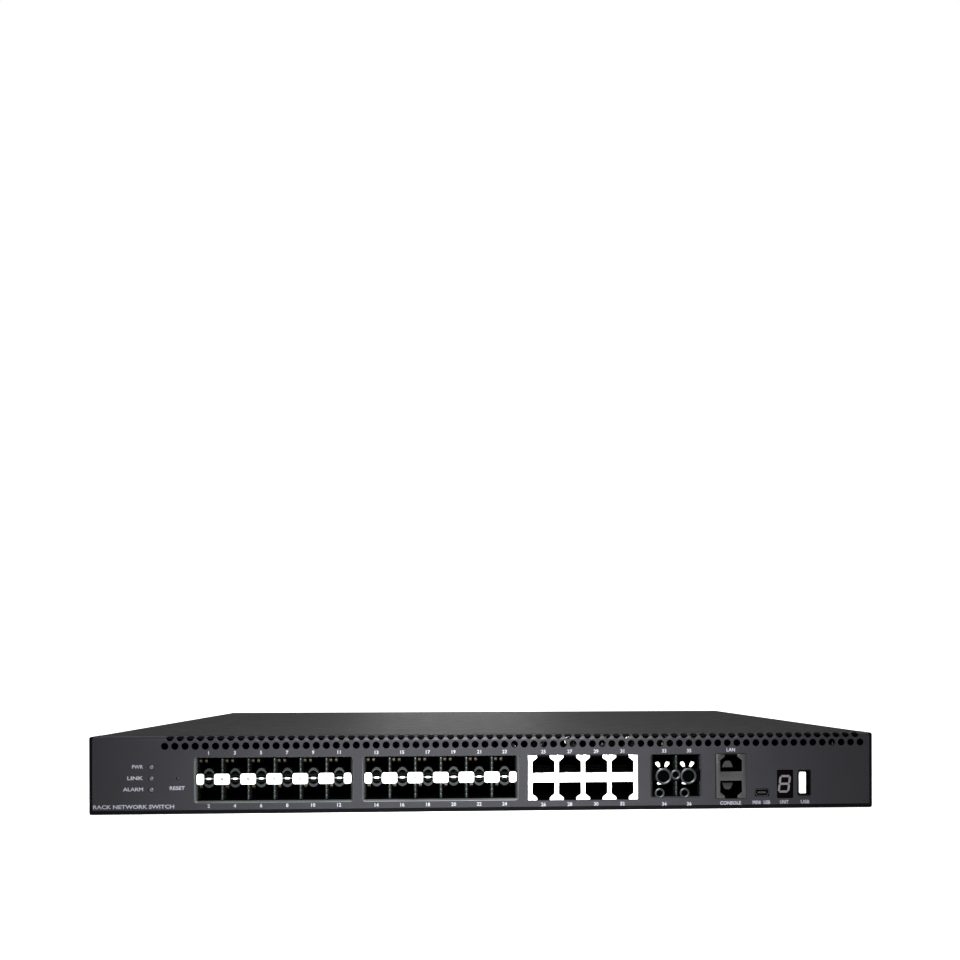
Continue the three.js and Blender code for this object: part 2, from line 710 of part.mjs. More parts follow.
addPart('main_board', mainBoard(), greenBoard);
cooledChips.forEach(({ name, x, y, size, thickness, sink, top, fins }) => {
  const bottom = onBoard + thickness + gap;
  addPart(`${name}_chip`, chip(x, y, size, thickness), chipBlack);
  addPart(`${name}_heatsink`, finnedHeatsink(x, y, sink, bottom, top, fins), blackAnodised);
});
addPart('memory_module', memoryModule(), greenBoard);
addPart('coin_cell_holder', cellHolder(), blackPlastic);
addPart('coin_cell', coinCell(), cellSteel);

addPart('power_board', box(...psuBoardX, ...psuBoardY, psuBoardBottom, psuBoardTop), greenBoard);
addPart('power_transformer', box(-128, -94, 206, 236, onPsuBoard, 34), copperWinding);
addPart('power_choke', box(-204, -184, 214, 234, onPsuBoard, 30), copperWinding);
addPart('power_capacitor_1', cylinder('z', 9, onPsuBoard, 36, -152, 242, 16), chipBlack);
addPart('power_capacitor_2', cylinder('z', 9, onPsuBoard, 36, -130, 246.5, 16), chipBlack);
addPart('power_heatsink_primary', plateHeatsink(-150, 204, 40), blackAnodised);
addPart('power_heatsink_secondary', plateHeatsink(-82, 220, 50), blackAnodised);
addPart('power_inlet', powerInlet(), blackPlastic);
addPart('inlet_pin_line', inletPin(inletPinPlaces[0]), brassContact);
addPart('inlet_pin_neutral', inletPin(inletPinPlaces[1]), brassContact);
addPart('inlet_pin_earth', inletPin(inletPinPlaces[2]), brassContact);
addPart('ground_screw', groundScrew(), brightNickel);

const mainsLead = [[-178, 257.5, 20], [-178, 250, 20], [-182, 244, 15], [-184, 241, 11.2]];
const boardLead = [[-90, 182, 12.4], [-90, 176, 12.4], [-88, 165, 12.4], [-88, 158, 10.8], [-88, 154, 9.1]];
addPart('mains_lead', cable(mainsLead, 2.2, 7), cableBlack);
addPart('board_power_lead', cable(boardLead, 3, 7), cableBlack);

fanCentres.forEach((x, i) => {
  const lead = [[x - 22.5, fanFront + 6, 8], [x - 22.5, fanFront - 14, 5], [x - 20, 200, 4], [x - 20, 176, 8],
    [x - 20, 166, 9.4], [x - 20, 160, 7.7]];
  addPart(`fan_frame_${i + 1}`, fanFrame(x), blackPlastic);
  addPart(`fan_rotor_${i + 1}`, fanRotor(x), chipBlack);
  addPart(`fan_guard_${i + 1}`, fanGuard(x), brightNickel);
  addPart(`fan_lead_${i + 1}`, cable(lead, 1.4, 10), cableBlack);
});

coverScrewDepths.forEach((y, i) => {
  addPart(`cover_screw_left_${i + 1}`, coverScrew(-1, y), blackPaint);
  addPart(`cover_screw_right_${i + 1}`, coverScrew(1, y), blackPaint);
});

export default assembly;
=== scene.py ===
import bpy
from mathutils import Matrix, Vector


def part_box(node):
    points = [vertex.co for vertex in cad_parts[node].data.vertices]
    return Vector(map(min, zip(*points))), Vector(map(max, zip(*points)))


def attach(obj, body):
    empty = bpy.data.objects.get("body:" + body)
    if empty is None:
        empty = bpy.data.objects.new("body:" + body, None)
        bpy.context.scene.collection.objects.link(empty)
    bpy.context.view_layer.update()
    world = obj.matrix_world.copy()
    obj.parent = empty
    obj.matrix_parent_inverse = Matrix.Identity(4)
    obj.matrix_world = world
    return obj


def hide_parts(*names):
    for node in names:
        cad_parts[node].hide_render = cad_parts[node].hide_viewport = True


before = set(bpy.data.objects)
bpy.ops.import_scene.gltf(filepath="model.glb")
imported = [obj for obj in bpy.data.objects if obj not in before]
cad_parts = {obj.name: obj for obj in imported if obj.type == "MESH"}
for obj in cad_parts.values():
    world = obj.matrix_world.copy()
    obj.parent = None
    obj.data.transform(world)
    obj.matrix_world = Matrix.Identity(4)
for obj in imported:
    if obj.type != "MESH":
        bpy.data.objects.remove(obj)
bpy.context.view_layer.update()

import math

import bmesh
import bpy
from mathutils import Matrix, Vector
from mathutils.geometry import delaunay_2d_cdt

# Sizes below are millimetres: x to the right of the middle, y back from the front panel's face,
# z up from the underside. They become metres in the shared frame when a mesh is made.
MM = 0.001
CHASSIS = "chassis"

panel_low, panel_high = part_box("front_panel")
FRONT = panel_low.y
HALF_WIDTH = panel_high.x / MM
HEIGHT = panel_high.z / MM
PANEL_RETURN = (panel_high.y - FRONT) / MM
DEPTH = (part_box("top_cover")[1].y - FRONT) / MM
BODY_FRONT = (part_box("top_cover")[0].y - FRONT) / MM


def node_box(node):
    """A CAD node's lowest and highest corners in this script's millimetres."""
    low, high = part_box(node)
    shift = Vector((0, FRONT, 0))
    return (low - shift) / MM, (high - shift) / MM


def node_middle(node):
    low, high = node_box(node)
    return (low + high) / 2


def face_middle(node):
    """The x and z of a CAD node's middle."""
    low, high = node_box(node)
    return (low.x + high.x) / 2, (low.z + high.z) / 2


def spread(middle, count, pitch):
    """Places in a row, evenly spaced about a middle."""
    return [middle + (i - (count - 1) / 2) * pitch for i in range(count)]


# ---------------------------------------------------------------- mesh helpers


def add_object(name, data):
    thing = bpy.data.objects.new(name, data)
    bpy.context.scene.collection.objects.link(thing)
    return thing


def finish_mesh(name, bm, material, slot, body=CHASSIS, replaces=(), smooth=35):
    """Turns a bmesh in millimetres into a piece that rides on a body."""
    bm.transform(Matrix.Translation((0, FRONT, 0)) @ Matrix.Diagonal((MM, MM, MM, 1)))
    mesh = bpy.data.meshes.new(name)
    bm.to_mesh(mesh)
    bm.free()
    piece = add_object(name, mesh)
    for one in material if isinstance(material, (list, tuple)) else [material]:
        mesh.materials.append(one)
    mesh.polygons.foreach_set("use_smooth", [True] * len(mesh.polygons))
    mesh.set_sharp_from_angle(angle=math.radians(smooth))
    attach(piece, body)
    if replaces:
        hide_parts(*replaces)
    return piece


def replace_node(node, bm, material, slot, **more):
    """Turns a bmesh into the detailed piece that stands in for a CAD node."""
    return finish_mesh(node + "_detail", bm, material, slot, replaces=[node], **more)


def bevel(bm, width, segments=2, angle=40):
    """Rounds the edges that turn by more than an angle."""
    limit = math.radians(angle)
    chosen = [e for e in bm.edges if len(e.link_faces) == 2 and e.calc_face_angle() > limit]
    bmesh.ops.bevel(bm, geom=chosen, offset=width, segments=segments, profile=0.5,
                    affect="EDGES", clamp_overlap=True)


def paint(made, slot_index):
    """Gives the faces of a newly made solid their material slot."""
    for face in {f for v in made["verts"] for f in v.link_faces}:
        face.material_index = slot_index


def add_box(bm, x0, x1, y0, y1, z0, z1, slot_index=0):
    middle = Matrix.Translation(((x0 + x1) / 2, (y0 + y1) / 2, (z0 + z1) / 2))
    size = Matrix.Diagonal((x1 - x0, y1 - y0, z1 - z0, 1))
    paint(bmesh.ops.create_cube(bm, size=1, matrix=middle @ size), slot_index)


AXIS_TURN = {"x": Matrix.Rotation(math.radians(90), 4, "Y"),
             "y": Matrix.Rotation(math.radians(-90), 4, "X"),
             "z": Matrix.Identity(4)}


def add_rod(bm, axis, start, radius, length, segments=32, slot_index=0):
    """A closed rod from a start point along +x, +y or +z."""
    turn = Matrix.Translation(start) @ AXIS_TURN[axis] @ Matrix.Translation((0, 0, length / 2))
    made = bmesh.ops.create_cone(bm, cap_ends=True, segments=segments, radius1=radius, radius2=radius,
                                 depth=length, matrix=turn)
    paint(made, slot_index)


def arc(centre_u, centre_v, radius, start, end, steps):
    """Points on an arc, angles in degrees."""
    angles = [math.radians(start + (end - start) * i / steps) for i in range(steps + 1)]
    return [(centre_u + radius * math.cos(a), centre_v + radius * math.sin(a)) for a in angles]


def circle(u, v, radius, segments):
    return arc(u, v, radius, 0, 360 * (segments - 1) / segments, segments - 1)


def turns(count):
    """Angles all the way round, in radians."""
    return [2 * math.pi * k / count for k in range(count)]


def rounded_rectangle(u0, u1, v0, v1, radius, steps=5):
    return (arc(u1 - radius, v0 + radius, radius, -90, 0, steps)
            + arc(u1 - radius, v1 - radius, radius, 0, 90, steps)
            + arc(u0 + radius, v1 - radius, radius, 90, 180, steps)
            + arc(u0 + radius, v0 + radius, radius, 180, 270, steps))


def counter_clockwise(loop):
    area = sum(a[0] * b[1] - b[0] * a[1] for a, b in zip(loop, loop[1:] + loop[:1]))
    return loop if area > 0 else loop[::-1]


def flat_with_holes(outline, holes, lines=()):
    """Triangles filling an outline in the plane, with holes left out and extra lines kept as edges."""
    points, faces, edges = [], [], []
    for loop in [outline, *holes]:
        first = len(points)
        points += [Vector(p) for p in counter_clockwise(loop)]
        faces.append(list(range(first, len(points))))
    for start, end in lines:
        edges.append((len(points), len(points) + 1))
        points += [Vector(start), Vector(end)]
    found = delaunay_2d_cdt(points, edges, faces, 1, 1e-5)
    kept = [face for face, origin in zip(found[2], found[5]) if origin == [0]]
    return found[0], kept


def add_surface(bm, points, faces, where):
    """Adds flat points and faces to a bmesh, each point sent to its place by a function."""
    verts = [bm.verts.new(where(*p)) for p in points]
    for face in faces:
        bm.faces.new([verts[i] for i in face])
    loose = [v for v in verts if not v.link_faces]
    bmesh.ops.delete(bm, geom=loose, context="VERTS")


SWEEP = {"x": lambda u, v, w: (w, u, v),
         "y": lambda u, v, w: (u, w, v),
         "z": lambda u, v, w: (u, v, w)}


def add_prism(bm, axis, outline, start, end, holes=(), slot_index=0):
    """A closed solid: an outline with holes, swept along an axis.

    The outline holds (y, z) pairs along x, (x, z) pairs along y and (x, y) pairs along z."""
    points, faces = flat_with_holes(outline, list(holes))
    before = set(bm.faces)
    ends = [[bm.verts.new(SWEEP[axis](p[0], p[1], w)) for p in points] for w in (start, end)]
    for side in ends:
        for face in faces:
            bm.faces.new([side[i] for i in face])
    near = set(ends[0])
    rims = [e for e in bm.edges if len(e.link_faces) == 1 and near.issuperset(e.verts)]
    partner = dict(zip(ends[0], ends[1]))
    for edge in rims:
        one, two = edge.verts
        bm.faces.new([one, two, partner[two], partner[one]])
    made = [f for f in bm.faces if f not in before]
    loose = [v for side in ends for v in side if not v.link_faces]
    bmesh.ops.delete(bm, geom=loose, context="VERTS")
    bmesh.ops.recalc_face_normals(bm, faces=made)
    for face in made:
        face.material_index = slot_index
    return made


def stitch(bm, rings, closed=True, capped=False, slot_index=0):
    """Joins rings of points, all with the same number, by quads, and may cap the last and first ring."""
    made = [[bm.verts.new(p) for p in ring] for ring in rings]
    count = len(made[0])
    for one, two in zip(made, made[1:]):
        for i in range(count if closed else count - 1):
            n = (i + 1) % count
            bm.faces.new([one[i], one[n], two[n], two[i]]).material_index = slot_index
    if capped:
        bm.faces.new(made[-1]).material_index = slot_index
        bm.faces.new(made[0][::-1]).material_index = slot_index
    return made


def add_tube(bm, points, radius):
    """A closed round bar along a list of points."""
    path = [Vector(p) for p in points]
    sides = 12
    rings = []
    for i, point in enumerate(path):
        ahead = path[min(i + 1, len(path) - 1)] - path[max(i - 1, 0)]
        turn = ahead.to_track_quat("Z", "Y").to_matrix()
        rings.append([point + turn @ Vector((radius * math.cos(a), radius * math.sin(a), 0))
                      for a in turns(sides)])
    made = stitch(bm, rings)
    bm.faces.new(made[0][::-1])
    bm.faces.new(made[-1])


def add_ring(bm, middle, major, minor, segments=64, sides=10):
    """A round wire ring that lies in the x-z plane."""
    rings = []
    for a in turns(segments):
        out = Vector((math.cos(a), 0, math.sin(a)))
        rings.append([bm.verts.new(Vector(middle) + out * (major + minor * math.cos(b))
                                   + Vector((0, minor * math.sin(b), 0))) for b in turns(sides)])
    for one, two in zip(rings, rings[1:] + rings[:1]):
        for k in range(sides):
            n = (k + 1) % sides
            bm.faces.new([one[k], two[k], two[n], one[n]])


# ---------------------------------------------------------------- materials


class Finish:
    """A Principled material built from nodes, with helpers for noise, bump and colour variation."""

    def __init__(self, name, color, roughness, metallic=0.0, specular=0.5):
        self.material = bpy.data.materials.new(name)
        self.material.use_nodes = True
        self.nodes = self.material.node_tree.nodes
        self.links = self.material.node_tree.links
        self.shader = self.nodes["Principled BSDF"]
        self.color = color
        for name, value in (("Base Color", (*color, 1)), ("Roughness", roughness), ("Metallic", metallic),
                            ("Specular IOR Level", specular)):
            self.shader.inputs[name].default_value = value
        self.roughness = roughness
        self.bump = None

    def add(self, kind, **values):
        """Adds a shader node and sets its inputs; an underscore in a name stands for a space."""
        node = self.nodes.new("ShaderNode" + kind)
        for name, value in values.items():
            node.inputs[name.replace("_", " ")].default_value = value
        return node

    def in_object_space(self, node):
        self.links.new(self.add("TexCoord").outputs["Object"], node.inputs["Vector"])
        return node

    def noise(self, scale, stretch=(1, 1, 1), detail=3.0, distortion=0.0):
        """A noise texture in object space; the scale is features per metre."""
        mapping = self.in_object_space(self.add("Mapping", Scale=stretch))
        texture = self.add("TexNoise", Scale=scale, Detail=detail, Distortion=distortion)
        self.links.new(mapping.outputs["Vector"], texture.inputs["Vector"])
        return texture.outputs["Fac"]

    def cells(self, scale):
        """Voronoi cell distances in object space."""
        return self.in_object_space(self.add("TexVoronoi", Scale=scale)).outputs["Distance"]

    def ramp(self, factor, low, high, first, second):
        """A colour that runs from one to another as a factor runs from low to high."""
        node = self.add("ValToRGB")
        for stop, position, color in zip(node.color_ramp.elements, (low, high), (first, second)):
            stop.position = position
            stop.color = (*color, 1)
        self.links.new(factor, node.inputs["Fac"])
        return node.outputs["Color"]

    def span(self, factor, low, high, to_low, to_high):
        node = self.add("MapRange", From_Min=low, From_Max=high, To_Min=to_low, To_Max=to_high)
        self.links.new(factor, node.inputs["Value"])
        return node.outputs["Result"]

    def tint(self, factor, spread, low=0.35, high=0.65):
        """Varies the base colour darker and lighter by a spread."""
        dark = [c * (1 - spread) for c in self.color]
        light = [min(1, c * (1 + spread)) for c in self.color]
        self.links.new(self.ramp(factor, low, high, dark, light), self.shader.inputs["Base Color"])
        return self

    def polish(self, factor, spread):
        """Varies the roughness by a spread."""
        rough = self.span(factor, 0.3, 0.7, max(0.02, self.roughness - spread), self.roughness + spread)
        self.links.new(rough, self.shader.inputs["Roughness"])
        return self

    def relief(self, factor, height, strength=1.0):
        """Adds bump of a height in metres; several calls stack."""
        node = self.add("Bump", Distance=height, Strength=strength)
        self.links.new(factor, node.inputs["Height"])
        if self.bump:
            self.links.new(self.bump, node.inputs["Normal"])
        self.bump = node.outputs["Normal"]
        self.links.new(self.bump, self.shader.inputs["Normal"])
        return self


def powder_coat(name, color, roughness, grain, height, specular):
    """Sprayed paint: fine grain over a slow ripple, with faint handling marks."""
    coat = Finish(name, color, roughness, specular=specular)
    coat.tint(coat.noise(35, detail=4), 0.05)
    coat.polish(coat.noise(90, detail=5), 0.03)
    coat.relief(coat.noise(grain, detail=2), height, 0.6)
    coat.relief(coat.noise(grain / 6, detail=1), height * 2, 0.25)
    return coat.material


def plated_steel(name, color, roughness, grain=(1, 60, 60)):
    """Plated sheet steel: rolling streaks and soft spangle."""
    steel = Finish(name, color, roughness, metallic=1.0)
    streaks = steel.noise(40, stretch=grain, detail=6)
    steel.tint(steel.noise(55, detail=3), 0.12)
    steel.polish(streaks, 0.10)
    steel.relief(streaks, 0.00001, 0.35)
    return steel.material


def bright_metal(name, color, roughness):
    """Smooth plating with faint smudges."""
    metal = Finish(name, color, roughness, metallic=1.0)
    metal.polish(metal.noise(220, detail=4, distortion=0.6), 0.06)
    metal.tint(metal.noise(120, detail=2), 0.03)
    metal.relief(metal.noise(900, detail=2), 0.000004, 0.3)
    return metal.material


def moulded(name, color, roughness, specular=0.4, grain=2600):
    """Injection-moulded plastic with a spark-eroded grain."""
    plastic = Finish(name, color, roughness, specular=specular)
    plastic.tint(plastic.noise(160, detail=3), 0.08)
    plastic.polish(plastic.noise(420, detail=3), 0.06)
    plastic.relief(plastic.noise(grain, detail=2), 0.000012, 0.5)
    return plastic.material


def circuit_board(name, color):
    """Solder resist over copper tracks."""
    board = Finish(name, color, 0.35, specular=0.5)
    lines = board.span(board.cells(420), 0.35, 0.40, 0, 1)
    board.tint(lines, 0.35, 0.2, 0.8)
    board.polish(board.noise(200), 0.08)
    board.relief(lines, 0.00002, 0.5)
    return board.material


def cast_winding(name, color):
    """Taped or varnished windings."""
    winding = Finish(name, color, 0.4, specular=0.5)
    bands = winding.noise(120, stretch=(1, 1, 40), detail=2)
    winding.tint(bands, 0.3)
    winding.relief(bands, 0.0001, 0.6)
    return winding.material


PANEL_PAINT = powder_coat("panel_paint", (0.0068, 0.0068, 0.0084), 0.48, 2400, 0.000010, 0.11)
# Painted shade: the bent-back left, bottom and right edges get a near-black colour in place of the dark they
# show.
PANEL_EDGE_SHADE = powder_coat("panel_edge_painted_shade", (0.0012, 0.0012, 0.0015), 0.62, 2400, 0.000010, 0.012)
LIP_STEEL = plated_steel("panel_lip_steel", (0.055, 0.059, 0.058), 0.50, grain=(1, 6, 30))
COVER_PAINT = powder_coat("cover_paint", (0.0062, 0.0062, 0.0062), 0.60, 1700, 0.000008, 0.009)
CHASSIS_STEEL = plated_steel("chassis_steel", (0.27, 0.275, 0.28), 0.42)
CAGE_STEEL = plated_steel("cage_steel", (0.0190, 0.0220, 0.0220), 0.46, grain=(1, 6, 30))
# Cage steel darkened to near black: painted shade for walls, strips and shells that sit in shade.
CAGE_SHADE = plated_steel("cage_steel_painted_shade", (0.004, 0.004, 0.0044), 0.5, grain=(1, 6, 30))
NICKEL = bright_metal("bright_nickel", (0.92, 0.92, 0.90), 0.30)
GUARD_WIRE = bright_metal("guard_wire", (0.46, 0.465, 0.47), 0.28)
ZINC_SCREW = bright_metal("zinc_screw", (0.36, 0.36, 0.34), 0.34)
PORT_STEEL = plated_steel("port_steel", (0.034, 0.034, 0.034), 0.42, grain=(1, 6, 30))
# Steel darkened as painted shade: the lower console carriers and the mini USB port.
SHADOW_STEEL = plated_steel("steel_painted_shadow", (0.026, 0.026, 0.0265), 0.45, grain=(1, 6, 30))
RIVET_STEEL = plated_steel("rivet_steel", (0.20, 0.20, 0.195), 0.40)
SPRING_COPPER = bright_metal("spring_copper", (0.030, 0.0235, 0.016), 0.42)
GOLD = bright_metal("gold_contact", (0.83, 0.62, 0.28), 0.25)
# Gold contacts darkened to near black: painted shade for contacts deep in the mouths.
SHADED_GOLD = bright_metal("gold_contact_painted_shade", (0.0022, 0.0020, 0.0017), 0.5)
BRASS = bright_metal("brass_contact", (0.78, 0.62, 0.34), 0.28)
HEATSINK_BLACK = plated_steel("heatsink_black", (0.022, 0.022, 0.024), 0.42, grain=(1, 1, 40))
BLACK_PLASTIC = moulded("black_plastic", (0.012, 0.012, 0.013), 0.5)
# Black plastic darkened far below real plastic: painted shade for mouths, tunnels, connectors and recesses.
SHADE_BLACK = moulded("black_plastic_painted_shade", (0.00015, 0.00015, 0.00015), 0.7, specular=0.004)
WHITE_PLASTIC = moulded("white_plastic", (0.86, 0.86, 0.84), 0.4)
CHIP_BLACK = moulded("chip_black", (0.015, 0.015, 0.016), 0.55)
CABLE_BLACK = moulded("cable_black", (0.014, 0.014, 0.015), 0.55, grain=900)
CLEAR_PLASTIC = moulded("clear_plastic", (0.030, 0.032, 0.030), 0.30, specular=0.3)
DISPLAY_FACE = moulded("display_face", (0.0004, 0.0004, 0.0004), 0.35, specular=0.01)
DISPLAY_SEGMENT = moulded("display_segment", (0.055, 0.048, 0.054), 0.5, specular=0.2)
LABEL_INK = moulded("label_ink", (0.110, 0.110, 0.130), 0.55, specular=0.2)
SCREW_BLACK = moulded("screw_black", (0.02, 0.02, 0.022), 0.4, specular=0.6)
BOARD_GREEN = circuit_board("board_green", (0.012, 0.075, 0.035))
WINDING = cast_winding("copper_winding", (0.50, 0.27, 0.06))

# The CAD nodes that show as they are; the others are replaced by detailed pieces below.
KEPT_NODES = (
    # The connectors deep in the cages take the near-black painted shade.
    (SHADE_BLACK, "module_connectors_left", "module_connectors_right", "uplink_connectors"),
    (BLACK_PLASTIC, "reset_button", "coin_cell_holder"),
    (BOARD_GREEN, "main_board", "memory_module", "power_board"),
    (CHIP_BLACK, "reset_switch", "switch_chip", "port_chip", "processor_chip", "power_capacitor_1",
     "power_capacitor_2"),
    (HEATSINK_BLACK, "switch_heatsink", "port_heatsink", "processor_heatsink", "power_heatsink_primary",
     "power_heatsink_secondary"),
    (NICKEL, "coin_cell"),
    (WINDING, "power_transformer", "power_choke"),
    (CABLE_BLACK, "mains_lead", "board_power_lead", "fan_lead_1", "fan_lead_2", "fan_lead_3"),
)
for material, *nodes in KEPT_NODES:
    for node in nodes:
        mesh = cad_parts[node].data
        mesh.materials.clear()
        mesh.materials.append(material)


# ---------------------------------------------------------------- front panel

PANEL_BEND = 2.6
PANEL_SHEET = 1.5
PANEL_CORNER = 0.9
BEND_STEPS = 10
CORNER_STEPS = 6
VENT_PITCH = 5.5
VENT_ROW_SPACING = 4.75
VENT_RADIUS = 2.0
VENT_FIRST_X = -178.5
VENT_COUNT = 72
VENT_SIDES = 28

GAP = 0.3
PORT_PITCH = 14.25
CAGES = {"module_cage_left": 6, "module_cage_right": 6, "uplink_cage": 2}
CAGE_DIVIDER = 0.6
CAGE_WALL = 0.5
CAGE_FLARE = 1.1
CAGE_MOUTH_RADIUS = 0.8
CAGE_TOP_FLARE = 0.45
LIGHT_HEIGHTS = (13.85, 20, 26.2)
LIGHT_HOLE = 1.5
RESET_HOLE = 0.85
USB_CUTOUT_HALF = 7.4
MINI_USB_CUTOUT = 4.3
LIP_SLOT = 3
COVER_SLOT = 4

BEND_START = HEIGHT - PANEL_BEND
BEND_LENGTH = PANEL_BEND * math.pi / 2


def on_panel(x, v):
    """Sends a point of the unfolded panel to its place: v is measured up the face and over the top bend."""
    if v <= BEND_START:
        return (x, 0, v)
    turn = (v - BEND_START) / PANEL_BEND
    if turn <= math.pi / 2:
        return (x, PANEL_BEND * (1 - math.cos(turn)), BEND_START + PANEL_BEND * math.sin(turn))
    return (x, PANEL_BEND + v - BEND_START - BEND_LENGTH, HEIGHT)


def vent_outlines():
    middle = BEND_START + BEND_LENGTH / 2
    loops = []
    for row, count in ((-1, VENT_COUNT), (0, VENT_COUNT - 1), (1, VENT_COUNT)):
        start = VENT_FIRST_X + (VENT_PITCH / 2 if row == 0 else 0)
        for i in range(count):
            place = (start + i * VENT_PITCH, middle + row * VENT_ROW_SPACING)
            loops.append(circle(*place, VENT_RADIUS, VENT_SIDES))
    return loops


def cage_mouth(node, grow=0.0):
    """The cut-out in front of a cage, grown by the flare of its edge."""
    low, high = node_box(node)
    side = CAGE_DIVIDER - grow
    bottom, top = low.z + CAGE_WALL - grow, high.z - CAGE_WALL + grow * CAGE_TOP_FLARE
    return rounded_rectangle(low.x + side, high.x - side, bottom, top, CAGE_MOUTH_RADIUS + grow)


def panel_cutouts():
    loops = [cage_mouth(node, CAGE_FLARE) for node in CAGES]
    usb_z = node_middle("usb_port_tongue").z
    mini_top = node_box("mini_usb_port")[1].z
    windows = [(node, node_box(node)[0].z - GAP, node_box(node)[1].z + GAP, 0.5, 3)
               for node in ("jack_block_shield", "console_jack_shield")]
    windows.append(("usb_port_shell", usb_z - USB_CUTOUT_HALF, usb_z + USB_CUTOUT_HALF, 0.8, 4))
    windows.append(("mini_usb_port", mini_top - MINI_USB_CUTOUT, mini_top + GAP, 0.7, 4))
    for node, bottom, top, corner, steps in windows:
        low, high = node_box(node)
        loops.append(rounded_rectangle(low.x - GAP, high.x + GAP, bottom, top, corner, steps))
    loops.append(display_outline(GAP, 0.6))
    pipe, reset = node_middle("status_light_pipe"), node_middle("reset_button")
    loops += [circle(pipe.x, z, LIGHT_HOLE, 24) for z in LIGHT_HEIGHTS]
    loops.append(circle(reset.x, reset.z, RESET_HOLE, 20))
    return loops


def display_outline(grow, corner):
    x = face_middle("digit_display")[0]
    half_x, half_z = DISPLAY_HALF
    return rounded_rectangle(x - half_x - grow, x + half_x + grow, DISPLAY_Z - half_z - grow,
                             DISPLAY_Z + half_z + grow, corner, 4)


def panel_rims(inner):
    """Rows of points round the left, bottom and right edges, each from the face to the back of the return."""
    corners = [(-inner, BEND_START, -1, 1, 90), (-inner, PANEL_BEND, -1, -1, 180),
               (inner, PANEL_BEND, 1, -1, 270), (inner, BEND_START, 1, 1, 0)]
    turns = [math.pi / 2 * k / BEND_STEPS for k in range(BEND_STEPS + 1)]
    profile = [(PANEL_BEND * math.sin(t), PANEL_BEND * (1 - math.cos(t))) for t in turns]
    profile.append((PANEL_BEND, PANEL_RETURN))
    rows = [[(-inner, y, BEND_START + out) for out, y in profile]]
    for x, z, side_x, side_z, start in corners:
        for k in range(CORNER_STEPS + 1):
            angle = math.radians(start + 90 * k / CORNER_STEPS)
            row = []
            for out, y in profile:
                radius = min(out, PANEL_CORNER)
                row.append((x + side_x * (out - radius) + radius * math.cos(angle), y,
                            z + side_z * (out - radius) + radius * math.sin(angle)))
            rows.append(row)
    rows.append([(inner, y, BEND_START + out) for out, y in profile])
    return rows


def front_panel():
    """One formed sheet: flat face, all edges bent back, three staggered vent rows over the top bend."""
    bm = bmesh.new()
    inner = HALF_WIDTH - PANEL_BEND
    top = BEND_START + BEND_LENGTH + PANEL_RETURN - PANEL_BEND
    steps = [BEND_START + BEND_LENGTH * k / BEND_STEPS for k in range(BEND_STEPS + 1)]
    side = [PANEL_BEND, *steps, top]
    outline = [(inner, v) for v in side] + [(-inner, v) for v in reversed(side)]
    lines = [((-inner, v), (inner, v)) for v in steps]
    points, faces = flat_with_holes(outline, vent_outlines() + panel_cutouts(), lines)
    add_surface(bm, points, faces, on_panel)
    for face in bm.faces:
        if face.calc_center_median().y > PANEL_BEND:
            face.material_index = COVER_SLOT
    # The left, bottom and right bends take slot 1, the near-black painted shade.
    stitch(bm, panel_rims(inner), closed=False, slot_index=1)
    lip = [(CAGE_FLARE, 0), (CAGE_FLARE * 0.88, 0.04), (0.14, CAGE_FLARE * 0.86), (0, CAGE_FLARE * 1.05),
           (0, PANEL_SHEET)]
    for node in CAGES:
        lip_slot = 0 if node == "uplink_cage" else LIP_SLOT
        stitch(bm, [[(x, y, z) for x, z in cage_mouth(node, grow)] for grow, y in lip], slot_index=lip_slot)
    bmesh.ops.remove_doubles(bm, verts=bm.verts, dist=1e-3)
    bmesh.ops.dissolve_degenerate(bm, edges=bm.edges, dist=1e-4)
    bmesh.ops.recalc_face_normals(bm, faces=bm.faces)
    bm.normal_update()
    face_front = next(f for f in bm.faces if f.calc_center_median().y < 0.001)
    if face_front.normal.y > 0:
        bmesh.ops.reverse_faces(bm, faces=bm.faces)
    finishes = [PANEL_PAINT, PANEL_EDGE_SHADE, PANEL_EDGE_SHADE, LIP_STEEL, COVER_PAINT]
    piece = finish_mesh("front_panel_sheet", bm, finishes, "panel_paint", replaces=["front_panel"], smooth=50)
    thick = thicken(piece, PANEL_SHEET)
    thick.material_offset = 1
    thick.material_offset_rim = 1


def thicken(piece, sheet, edge=0.12):
    """Gives a surface the thickness of its sheet, with softened cut edges."""
    thick = piece.modifiers.new("sheet", "SOLIDIFY")
    thick.thickness = sheet * MM
    thick.offset = -1
    rim = piece.modifiers.new("edge_round", "BEVEL")
    rim.width = edge * MM
    rim.segments = 2
    rim.limit_method = "ANGLE"
    rim.angle_limit = math.radians(60)
    even = piece.modifiers.new("even_shading", "WEIGHTED_NORMAL")
    even.weight = 100
    even.keep_sharp = True
    return thick


# ---------------------------------------------------------------- top cover

COVER_BEND = 1.8
COVER_SHEET = 1.0
COVER_SKIRT = 0.3
EAR_HOLES = [(24, 11), (24, 32), (46, 11), (46, 32)]
EAR_HOLE = 2.1
SCREW_DEPTHS = (95, 250)
COVER_SCREW_HOLE = 3.0
SCREW_Z = 21.5


